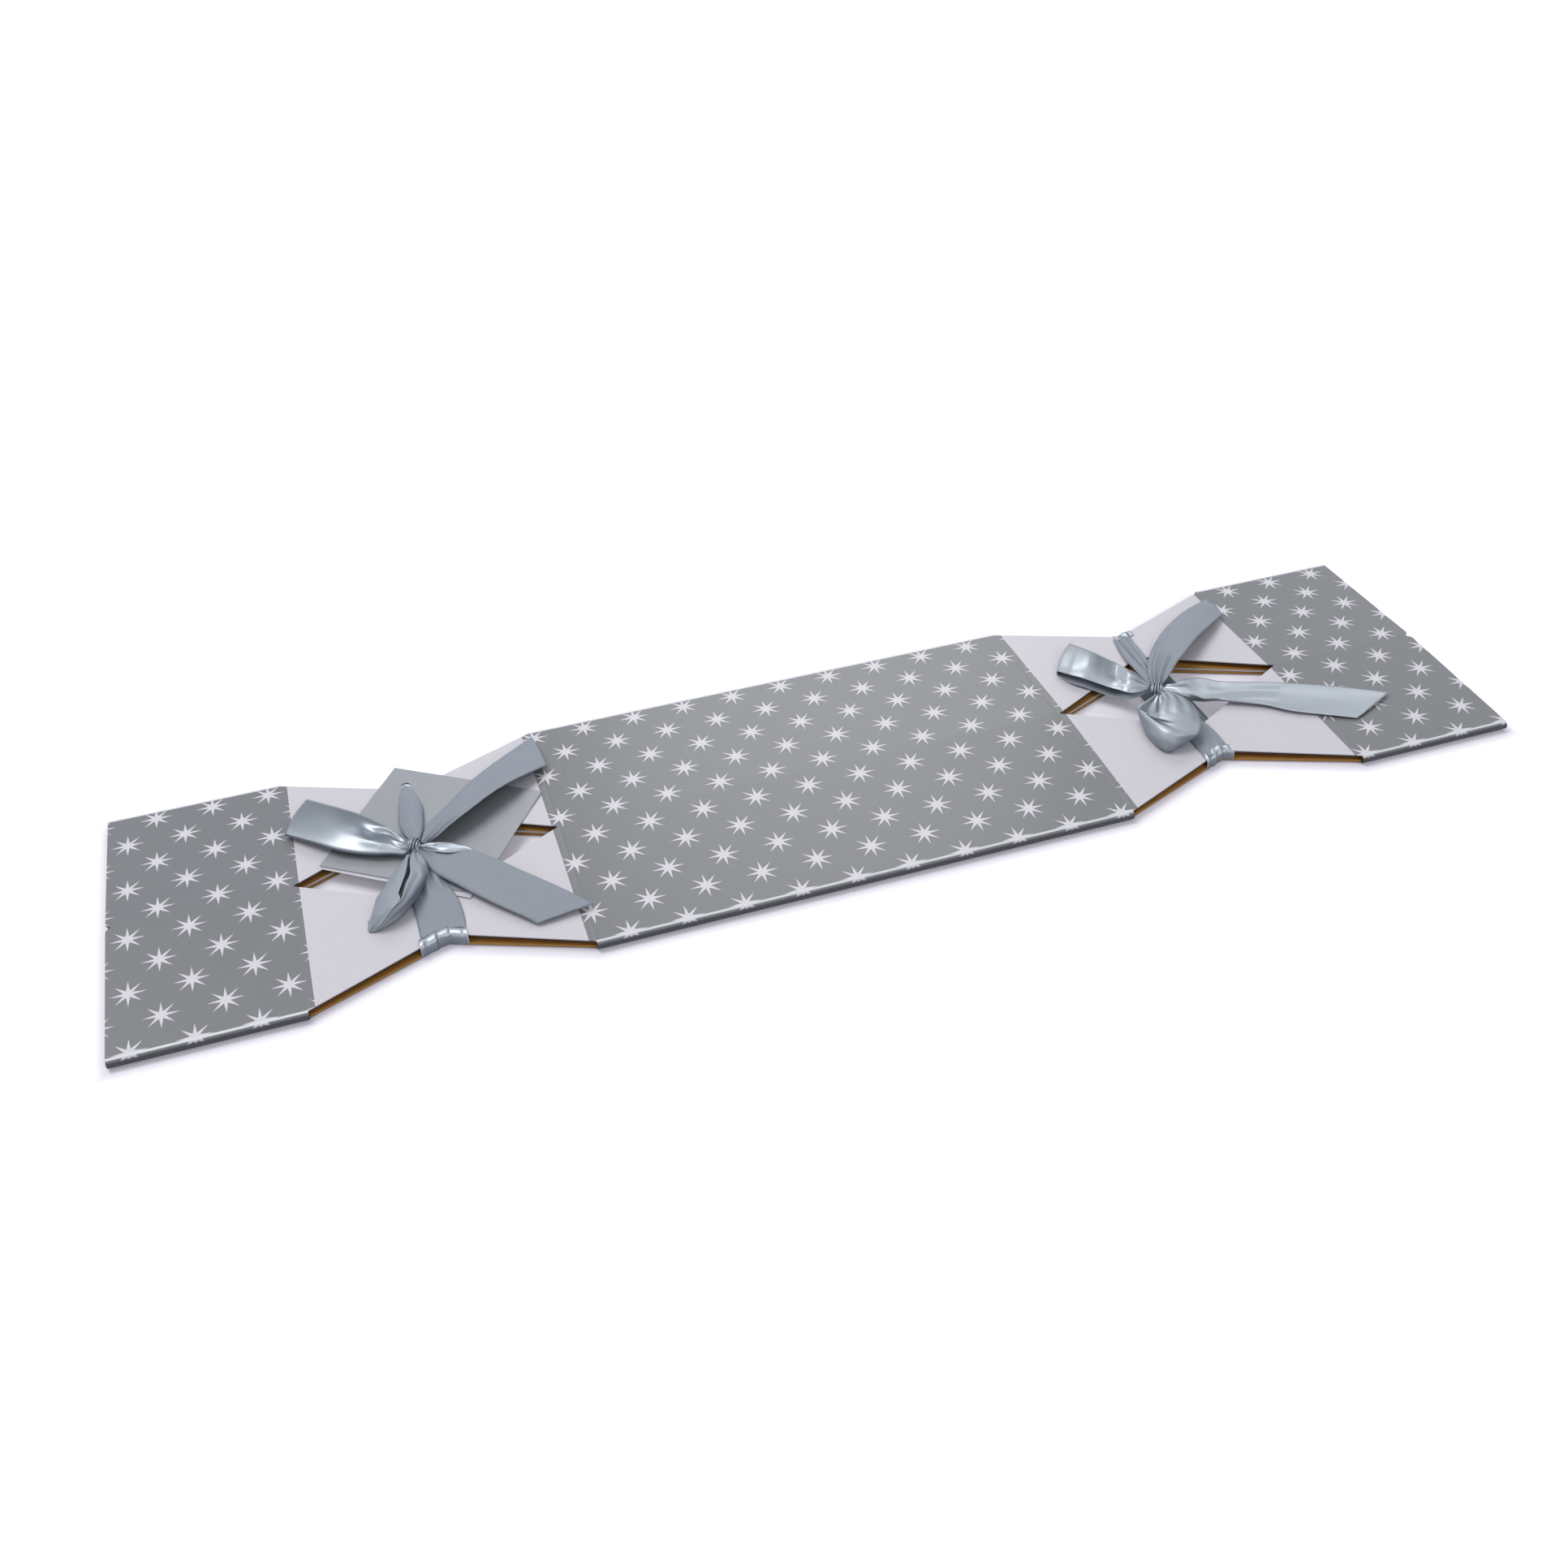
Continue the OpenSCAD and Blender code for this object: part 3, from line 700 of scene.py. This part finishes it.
left_low = pixels([
    [(504, 1052, 10.5), (503.5, 1053, 11.4), (503, 1054, 12.4), (504, 1053.5, 13.0), (505.5, 1053, 13.2)],
    [(503, 1067, 9.0), (500.5, 1064, 10.0), (498.5, 1062, 12.0), (500.5, 1060, 14.0), (502.5, 1058, 15.0)],
    [(501, 1088, 8.5), (490, 1086, 9.2), (484, 1080.5, 11.5), (492, 1074.5, 15.2), (500.5, 1072, 16.6)],
    [(495, 1105, 8.3), (479, 1103, 8.8), (472, 1095.5, 11.5), (483, 1090, 15.6), (495.4, 1088, 17.4)],
    [(489, 1118, 7.8), (471, 1116, 8.4), (464, 1107.5, 11.0), (477, 1102, 15.6), (491.2, 1100, 17.4)],
    [(485, 1127, 7.4), (468, 1126, 8.0), (461, 1117.5, 10.5), (476, 1111, 15.6), (493, 1107.5, 17.8)],
    [(477, 1136, 7.0), (462, 1136, 7.6), (457, 1130.5, 9.8), (470, 1123, 14.0), (484, 1118, 16.8)],
    [(466, 1145.5, 6.8), (458.5, 1144.5, 7.0), (455, 1140.5, 8.0), (462, 1138.5, 9.6), (469.5, 1138.5, 11.0)],
    [(457, 1148, 6.6), (456, 1147.8, 6.7), (455.5, 1147.5, 6.8), (456.5, 1147, 7.0), (458, 1146.5, 7.3)],
    [(466, 1146, 6.8), (467.5, 1144.8, 7.1), (469.5, 1142.5, 8.2), (470, 1140.5, 9.6), (469.5, 1138.3, 11.1)],
    [(478, 1138, 7.0), (485, 1135, 7.8), (488, 1129.5, 10.2), (487, 1122.5, 14.2), (484, 1117.5, 17.0)],
    [(487, 1128, 7.4), (495, 1126, 8.2), (499, 1119, 11.0), (499, 1111.5, 15.8), (493.8, 1107.8, 18.0)],
    [(491, 1119, 7.9), (500, 1119, 8.6), (506, 1112, 11.4), (504, 1104, 16.2), (496.5, 1101, 18.2)],
    [(498, 1106, 8.4), (508, 1109, 9.0), (514.5, 1102, 11.8), (510, 1093, 16.6), (500, 1089, 18.3)],
    [(505, 1091, 8.6), (516, 1096, 9.4), (523, 1088, 12.2), (517, 1079, 16.4), (505.2, 1075.7, 17.6)],
    [(507, 1076, 9.2), (520, 1081, 10.2), (528, 1073, 12.8), (519, 1066, 15.8), (504.8, 1064, 16.0)],
    [(508, 1058, 10.5), (515, 1063, 11.2), (521, 1058.5, 12.8), (515, 1053.5, 14.6), (506, 1054, 14.8)],
    [(509, 1051, 11.0), (511, 1052.5, 11.6), (513.5, 1052, 12.4), (512, 1050, 13.0), (508, 1049.5, 13.0)]])
bow_part("left_low_loop", "left_bow_low_loop", left_low, ["tag_front"], shine=(0.35, 1),
         gather=(3, 0.0008, 0.2), lit=0.9)

left_far = pixels([
    [(500, 972, 6.7), (498, 971.5, 6.8), (500, 971, 6.9), (502, 971.5, 6.8), (501, 972, 6.7)],
    [(501, 971.5, 8.4), (497, 970, 8.6), (500, 968, 9.0), (503.5, 970, 8.6), (501.5, 971.5, 8.4)],
    [(503, 982, 8.4), (494, 978, 9.0), (502, 974, 10.0), (511, 978, 9.0), (504, 982, 8.4)],
    [(508, 996, 8.6), (492, 992, 9.8), (506, 988, 12.0), (519.5, 991, 9.8), (506, 997, 8.6)],
    [(508, 1013, 8.6), (491.5, 1007, 10.0), (507, 1004, 12.6), (521, 1007, 10.0), (506, 1014, 8.6)],
    [(508, 1027, 9.0), (494, 1022, 10.5), (508, 1019.5, 12.5), (520.5, 1022.5, 10.5), (507, 1028, 9.0)],
    [(511, 1039, 10.0), (505, 1036, 11.0), (511, 1035, 12.5), (517, 1037, 11.0), (512, 1040, 10.0)]])
bow_part("left_far_band", "left_ribbon_top", left_far, ["tag_front"], shine=(0, 1), columns=25,
         gather=(2, 0.0003, 0.1))

left_band = pixels([
    [(509, 1046, 10), (514, 1046, 11.5), (520, 1045, 10)],
    [(502, 1068, 8.5), (520, 1066, 11), (537, 1064, 9)],
    [(503, 1092, 8), (528, 1092, 10), (550, 1086, 8.5)],
    [(510, 1120, 7.4), (539, 1117, 9), (565, 1108, 7.8)],
    [(516, 1147, 6.3), (546, 1140, 7.5), (573, 1131, 6.6)],
    [(520, 1166, 5.9), (550, 1155, 6.2), (575, 1146, 5.9)]])
made = bow_part("left_near_band", "left_ribbon_front", left_band, ["tag_front", "blank_front"],
                body=None, shine=(0, 1))
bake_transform(made)

# Right bow
# A second length of the same satin ribbon, tied over bare board with two loops and two tails.
# Its shining side shows on the side loop and on the long near tail.
right_side = pixels([
    [(1417, 843.5, 11.5), (1417, 845, 11.6), (1417, 846.5, 11.6), (1416.5, 848, 11.2), (1416, 850, 10.4)],
    [(1408, 836, 13.0), (1408, 839.5, 13.2), (1408, 843.5, 13.2), (1407.5, 848, 12.6), (1407, 852.5, 11.4)],
    [(1399, 829, 14.6), (1398.5, 834, 15.2), (1397.5, 840.5, 15.0), (1396.5, 847, 14.0), (1395.5, 854, 12.4)],
    [(1391, 825.5, 15.2), (1390, 832, 15.6), (1389, 839, 15.0), (1387.5, 846, 14.0), (1386.5, 852.5, 12.6)],
    [(1384, 821.5, 13.6), (1383, 828.5, 13.6), (1381.5, 836, 13.2), (1380, 843.5, 13.0), (1378.5, 850, 12.0)],
    [(1376, 817.5, 11.2), (1374.5, 824.5, 11.2), (1373, 832, 11.4), (1371, 840, 12.3), (1369, 847.5, 11.6)],
    [(1362, 811, 13.4), (1360, 818, 13.6), (1357.5, 826.5, 13.6), (1355, 834.5, 13.4), (1352.5, 842, 12.2)],
    [(1347, 804, 16.0), (1344, 811.5, 16.5), (1341, 820, 16.3), (1338, 828.5, 15.0), (1335, 836, 13.4)],
    [(1333, 798.5, 14.6), (1329.5, 806.5, 15.0), (1326, 815.5, 14.8), (1322.5, 824.5, 14.2), (1320, 832, 12.8)],
    [(1326, 796, 13.2), (1322.5, 804, 13.5), (1319, 813, 13.3), (1315.5, 822, 12.9), (1313, 830, 11.8)],
    [(1319.5, 793.5, 11.8), (1314, 802, 12.0), (1310, 810.5, 11.9), (1307, 819, 11.5), (1305, 827.5, 10.6)]])
right_side = loop_rows(right_side, 0.0070, 0.0050, 0.0028, 0.0044, nearer=0.0022)
bow_part("right_side_loop", "right_bow_side_loop", right_side, ["blank_top"], shine=(1, 0),
         gather=(3, 0.0003, 0.2), lit=0.60)

right_upper = pixels([
    [(1419, 844, 11), (1425, 843, 12), (1432, 843.5, 11)],
    [(1414, 830, 10.5), (1426, 826, 13.5), (1441, 832, 13.5)],
    [(1415, 812, 10), (1431, 811, 14), (1450, 817, 15.5)],
    [(1424, 791, 9.5), (1441, 792, 14), (1462, 801, 16.5)],
    [(1439, 771, 9), (1455, 775, 13.5), (1475, 785, 15.5)],
    [(1460, 753, 8), (1474, 761, 11.5), (1491, 770, 13)],
    [(1486, 738, 7), (1498, 747, 9), (1506, 757, 9.5)]])
bow_part("right_upper_tail", "right_bow_upper_tail", right_upper, ["blank_top"], shine=(1, 0),
         crinkle=0.00008)

right_near = pixels([
    [(1437, 843.5, 12.0), (1436, 845, 12.2), (1435, 846.5, 12.4), (1433.5, 847.5, 12.6), (1432, 849.5, 12.0),
     (1431, 851, 11.0)],
    [(1448, 842, 13.2), (1447.5, 843.5, 12.8), (1447, 845.5, 13.0), (1446, 847.5, 13.8), (1446, 851, 13.0),
     (1446, 854.8, 11.4)],
    [(1458, 837.2, 11.6), (1458, 841, 12.6), (1458, 845.5, 13.4), (1458, 850.5, 14.0), (1458, 855.5, 12.8),
     (1458, 860.5, 10.6)],
    [(1471, 835.6, 11.4), (1471, 841, 12.2), (1471, 847.5, 13.2), (1471, 854.5, 13.8), (1471, 859, 12.2),
     (1471, 863.5, 10.0)],
    [(1485, 836, 12.2), (1485, 843, 12.6), (1485, 851, 12.9), (1484, 859.5, 12.6), (1484, 862, 11.4),
     (1484, 864.3, 9.6)],
    [(1500, 839, 11.6), (1499, 846, 12.0), (1498.5, 853, 12.2), (1498, 859.5, 11.8), (1498, 861.5, 10.8),
     (1498, 863.5, 9.4)],
    [(1522, 840, 12.3), (1521, 846.5, 12.3), (1520.5, 852.5, 11.9), (1520, 858.5, 11.2), (1520, 862, 10.4),
     (1520, 865, 9.2)],
    [(1560, 840.5, 10.8), (1559, 847, 11.2), (1558, 853, 11.2), (1557, 859, 10.6), (1557, 864, 10.0),
     (1557, 868.5, 8.8)],
    [(1603, 842.5, 10.0), (1601, 849, 10.4), (1599, 856, 10.4), (1597, 863, 10.0), (1595, 870, 9.4),
     (1593, 876, 8.4)],
    [(1655, 846.5, 9.0), (1651, 853, 9.4), (1647, 860, 9.4), (1643, 867, 9.0), (1639, 874, 8.4),
     (1635, 880.5, 7.8)],
    [(1711, 853, 8.2), (1703, 860, 8.2), (1695, 866.5, 8.0), (1687, 873, 7.8), (1680, 879, 7.5),
     (1672, 884.5, 7.2)]])
bow_part("right_near_tail", "right_bow_near_tail", right_near, ["blank_front", "blank_top"],
         shine=(0, 1.1), columns=25, gather=(2, 0.0003, 0.2), lit=1.05)

right_low = pixels([
    [(1430, 852, 12.5), (1433, 851.5, 12.8), (1436, 851.5, 13.0), (1439, 851.5, 12.8), (1442, 852, 12.4)],
    [(1433, 861, 15.0), (1439, 859, 15.6), (1446, 858, 16.0), (1452, 857.5, 15.8), (1459, 859.5, 15.0)],
    [(1430, 869, 16.6), (1439, 867.5, 17.4), (1450, 866, 17.8), (1461, 865.5, 17.2), (1469, 867.5, 16.0)],
    [(1427.5, 878, 17.4), (1439, 877, 18.4), (1452, 876, 18.8), (1465, 876, 18.0), (1476, 878, 16.4)],
    [(1425.5, 885, 17.6), (1438, 887, 18.8), (1452, 888, 19.0), (1467, 888, 18.0), (1480, 890, 16.0)],
    [(1408, 876, 14.6), (1426, 887.5, 15.8), (1442, 894.5, 17.0), (1460, 901, 16.4), (1479, 898, 15.0)],
    [(1401.5, 873, 13.2), (1421, 889, 17.0), (1438, 898, 17.9), (1457, 905, 16.8), (1476.5, 904, 14.2)],
    [(1404, 884.5, 11.5), (1419, 899, 14.0), (1435, 908, 15.0), (1452, 912, 14.2), (1471, 909.5, 12.6)],
    [(1410, 900, 9.8), (1421, 909, 11.6), (1435, 916, 12.0), (1449, 918.5, 11.6), (1464, 914, 10.8)],
    [(1422, 915.5, 8.0), (1429, 920.5, 8.8), (1438, 924, 9.0), (1447, 923, 8.8), (1456, 918.5, 8.4)],
    [(1430, 922, 7.0), (1435, 924.5, 7.0), (1441, 926, 7.0), (1447, 924.5, 7.0), (1452, 922, 7.0)],
    [(1413, 905, 7.2), (1425, 911, 6.9), (1438, 916, 6.8), (1450, 915, 6.9), (1461, 911, 7.2)],
    [(1406, 892, 8.0), (1420, 901, 6.9), (1436, 906, 6.6), (1452, 905, 6.8), (1466, 900, 7.4)],
    [(1403, 879, 10.6), (1415, 887, 7.2), (1432, 892, 6.7), (1450, 892, 6.9), (1466, 887, 7.6)],
    [(1402, 872.5, 13.0), (1413, 878, 8.4), (1425, 882, 7.2), (1440, 881, 7.8), (1456, 876, 8.4)],
    [(1409.5, 865.5, 12.6), (1415, 870, 10.0), (1424, 874, 8.6), (1434, 871, 9.0), (1445, 867, 9.6)],
    [(1418, 859.5, 12.0), (1421, 862.5, 10.4), (1426, 864, 9.8), (1431, 862.5, 10.0), (1437, 860, 10.4)],
    [(1424, 854.5, 11.0), (1426, 855.5, 10.6), (1428, 856, 10.4), (1430, 855.5, 10.6), (1433, 854.5, 11.0)]])
bow_part("right_low_loop", "right_bow_low_loop", right_low, ["blank_front"], shine=(0.85, 1),
         gather=(3, 0.0003, 0.2), lit=0.78)

right_far = pixels([
    [(1371.5, 788, 6.8), (1376.5, 788.5, 7.3), (1373.5, 788.3, 6.8), (1383, 785, 6.7), (1391.5, 782.5, 6.8)],
    [(1378, 800.5, 7.2), (1386.5, 798, 8.3), (1382, 799.5, 7.2), (1390, 795.5, 7.3), (1397.5, 791.5, 7.3)],
    [(1386, 813, 7.7), (1396, 808, 9.0), (1391, 810, 7.6), (1399, 806, 7.7), (1406.5, 802, 7.7)],
    [(1395, 822.5, 8.4), (1405, 817.5, 9.8), (1400, 820, 8.2), (1407, 815.5, 8.3), (1413, 811.5, 8.3)],
    [(1406, 834.5, 9.4), (1413, 828.5, 10.8), (1409, 831, 9.2), (1414, 826, 9.3), (1418, 822, 9.3)],
    [(1416, 844, 10.0), (1420, 842, 11.0), (1418, 842.5, 9.8), (1421, 840.5, 9.9), (1424, 838.5, 9.9)]])
bow_part("right_far_band", "right_ribbon_top", right_far, ["blank_top"], shine=(0, 1), columns=31,
         gather=(3, 0.0008, 0.4))

right_band = pixels([
    [(1422, 850, 9), (1429, 851, 11), (1426, 850, 9.4), (1430, 850, 9.2), (1434, 850, 9)],
    [(1434, 870, 7.8), (1447, 871, 9.8), (1442, 870, 8.2), (1450, 869, 8.2), (1456, 868, 8)],
    [(1452, 893, 7.5), (1468, 892, 9.0), (1461, 892, 7.8), (1471, 888, 7.9), (1478, 885, 7.9)],
    [(1470, 916, 7.0), (1486, 911, 8.2), (1478.5, 912, 7.2), (1491, 906, 7.3), (1498, 902, 7.3)],
    [(1487, 935, 6.5), (1500, 928, 7.3), (1494.5, 930, 6.6), (1506, 924, 6.7), (1514, 921, 6.7)]])
made = bow_part("right_near_band", "right_ribbon_front", right_band, ["blank_front"], body=None,
                shine=(0, 1), columns=31, gather=(3, 0.0006, 0.1))
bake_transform(made)

# Knots
# The last turn of each satin ribbon, drawn tight over the middle of its bow.
# It is a short arch across the bow, gathered into fine pleats.
KNOT_TURN, KNOT_SINK = math.radians(60), Vector((0, 0, -0.001))


def knot(name, node, centre, carrier, height):
    half_width, half_length = 0.0040, 0.0042
    rows = []
    for angle in range(-20, 201, 20):
        a = math.radians(angle)
        rise, out = math.sin(a) * height, math.cos(a) * half_length
        row = []
        for share in (-1, -0.5, 0, 0.5, 1):
            spread = half_width * share * (0.75 + 0.25 * abs(math.cos(a)))
            bulge = 1 - 0.25 * share * share
            x = out * bulge * math.cos(KNOT_TURN) - spread * math.sin(KNOT_TURN)
            y = out * bulge * math.sin(KNOT_TURN) + spread * math.cos(KNOT_TURN)
            row.append(centre + Vector((x, y, rise * bulge)))
        rows.append(row)
    made = ribbon(name, rows, columns=31, step=0.0005, shine=(1, 1), gather=(5, 0.0017, 0.2), lit=0.95,
                  held="gathered", rests_on=[carrier])
    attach(made, "top_panel")
    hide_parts(node)


knot("left_knot", "left_bow_knot", seen(511, 1043, 10) + KNOT_SINK, "tag_front", 0.0045)
knot("right_knot", "right_bow_knot", seen(1425, 849, 9) + KNOT_SINK, "blank_top", 0.0040)

# Ribbon under the necks and round their edges
# The rest of each satin turn: a flat band under the floor and back panels, and a crumpled wrap over each edge.
# A band ends along the wrap's slanting lip, and a wrap is baked in place, attached to neither panel that it
# joins.
BAND_Z, BAND_START, LIP, FAR_LOWER = 0.0002, 0.0004, 0.0050, 0.0006
WRAP_OUTLINE = [(-0.0056, 0.00580), (-0.0034, 0.00640), (-0.0014, 0.00630), (0.0002, 0.0054), (0.0008, 0.0038),
                (0.0006, 0.0016), (0.0002, 0.0005), (-0.0022, 0.00022), (-0.0052, 0.0002)]
WRINKLED = [(0, 0), (0.07, 0.0004), (0.16, 0.0001), (0.34, 0.0006), (0.40, 0.0002), (0.60, 0.0005),
            (0.66, 0.0001), (0.85, 0.0003), (0.92, 0), (1, 0.0002)]
FOLDED = [(0, 0), (0.35, 0.0001), (0.7, 0.0001), (0.5, 0.0003), (0.35, 0.0004), (0.6, 0.0005), (0.8, 0.0003),
          (1, 0)]


def side_edge(x):
    """How far from the middle the neck's cut edge lies."""
    return SIDE - WAIST_CUT / (NECK / 2) * max(0.0, NECK / 2 - abs(abs(x) - WAIST_X))


def under_band(name, node, body, centre_x, side):
    rows = []
    for share in (0, 0.25, 0.5, 0.75, 1):
        row = []
        for dx in (-RIBBON / 2, -RIBBON / 4, 0, RIBBON / 4, RIBBON / 2):
            y = BAND_START + share * (side_edge(centre_x + dx) - LIP - BAND_START)
            row.append(Vector((centre_x + dx, side * y, BAND_Z)))
        rows.append(row)
    made = ribbon(name, rows, step=0.004, columns=9, shine=(1, 0), held="laid",
                  rests_on=["blank_floor" if side < 0 else "blank_back"])
    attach(made, body)
    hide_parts(node)


def wrap(name, node, bodies, start_x, end_x, side, folds):
    """A turn round the neck's edge; folds are places across it, each with how far it stands off the board."""
    rows = []
    for place, (out, z) in enumerate(WRAP_OUTLINE):
        if side > 0 and 0 < place < 4:
            z -= FAR_LOWER
        row = []
        for share, off in folds:
            x = start_x + (end_x - start_x) * share
            stands = off if 0 < place < 7 else off * 0.3
            y = side_edge(x) + out + stands * (place > 1)
            up = lift(y) * min(1, z / UP_Z) + stands if z > 0.002 else 0
            row.append(Vector((x, side * y, z + up)))
        rows.append(row)
    made = ribbon(name, rows, step=0.0005, columns=61, shine=(1, 0) if side < 0 else (0, 1), lit=0.75,
                  gather=(4, 0.0003, 0.3), held="stretched",
                  rests_on=["blank_front" if side < 0 else "blank_top"])
    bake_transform(made)
    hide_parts(node)


for word, x, near_ends, far_ends, far_folds in (
        ("left", -WAIST_X, (-0.2215, -0.1985), (-0.2190, -0.1980), WRINKLED),
        ("right", WAIST_X, (0.1965, 0.2140), (0.2050, 0.2170), FOLDED)):
    under_band(word + "_floor_band", word + "_ribbon_floor", "floor_panel", x, -1)
    under_band(word + "_back_band", word + "_ribbon_back", "back_panel", x, 1)
    wrap(word + "_near_wrap", word + "_ribbon_near_wrap", ("floor_panel", "front_panel"), *near_ends,
         -1, WRINKLED)
    wrap(word + "_far_wrap", word + "_ribbon_far_wrap", ("back_panel", "top_panel"), *far_ends,
         1, far_folds)

# Gift tag
# A folded card, metallic grey outside and white inside, with a hole punched near its far corner.
# The left ribbon runs through the hole and holds it; each leaf is sliced into narrow strips along the box's
# centre crease.
HOLE, HOLE_R = Vector((-0.2116, 0.06125, 0)), 0.0025
TAG_LONG, TAG_WIDE = 0.086, 0.082
FROM_HOLE_X, FROM_HOLE_Y = 0.030, -0.028
TAG_TURN, LEAF_SKEW = math.radians(-34), math.radians(1.2)
TAG_BENDS = (-0.010, -0.008, -0.006, -0.004, -0.002, 0)

tag_card, w, shader = material("tag_card", Specular_IOR_Level=0.5)
place = w.node("ShaderNodeTexCoord", out="Object")
side_mark = w.node("ShaderNodeAttribute", {"attribute_name": "side"}, out="Fac")
brushed_map = w.node("ShaderNodeMapping", Vector=place, Scale=(900, 60, 900))
brushed = w.node("ShaderNodeTexNoise", i0=brushed_map, Scale=1.0, Detail=3.0)
cloudy = w.node("ShaderNodeTexNoise", i0=place, Scale=12.0, Detail=3.0)
silver = (brushed * 0.4 + cloudy * 0.6).blend((0.31, 0.325, 0.345, 1), (0.37, 0.385, 0.405, 1))
feed(shader, Base_Color=side_mark.blend(silver, (0.66, 0.645, 0.70, 1)), Metallic=(1 - side_mark) * 0.25,
     Roughness=0.42 + (brushed - 0.5) * 0.15 + side_mark * 0.2)
bump = w.node("ShaderNodeBump", Strength=0.2, Distance=0.00005, Height=brushed)
feed(shader, Normal=bump)


def tag_leaf(name, node, low, high, grey_side, turn, more):
    """One leaf between two heights, more metres wider than the tag's own width."""
    clear_selection()
    middle = (FROM_HOLE_X, FROM_HOLE_Y - more / 2, (low + high) / 2)
    bpy.ops.mesh.primitive_cube_add(size=1, location=middle)
    made = bpy.context.object
    made.name = name
    made.scale = (TAG_LONG, TAG_WIDE + more, high - low)
    bpy.ops.object.transform_apply(location=True, rotation=True, scale=True)
    bpy.ops.mesh.primitive_cylinder_add(vertices=32, radius=HOLE_R, depth=0.03, location=(0, 0, 0.007))
    hole = bpy.context.object
    bpy.ops.object.transform_apply(location=True, rotation=True, scale=True)
    cut(made, [hole])
    made.rotation_euler = (0, 0, turn)
    made.location = HOLE
    pick(made)
    bpy.ops.object.transform_apply(location=True, rotation=True, scale=True)
    slice_across(made, (0, 1, 0), TAG_BENDS)
    mark = made.data.attributes.new("side", "FLOAT", "POINT")
    for i, vertex in enumerate(made.data.vertices):
        mark.data[i].value = 0.0 if abs(vertex.co.z - grey_side) < 1e-5 else 1.0
    made.data.materials.clear()
    made.data.materials.append(tag_card)
    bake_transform(made)
    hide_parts(node)


tag_leaf("tag_back", "tag_back_leaf", 0.0070, 0.0073, 0.0070, TAG_TURN - LEAF_SKEW, 0.0026)
tag_leaf("tag_front", "tag_front_leaf", 0.0077, 0.0080, 0.0080, TAG_TURN, 0.0010)
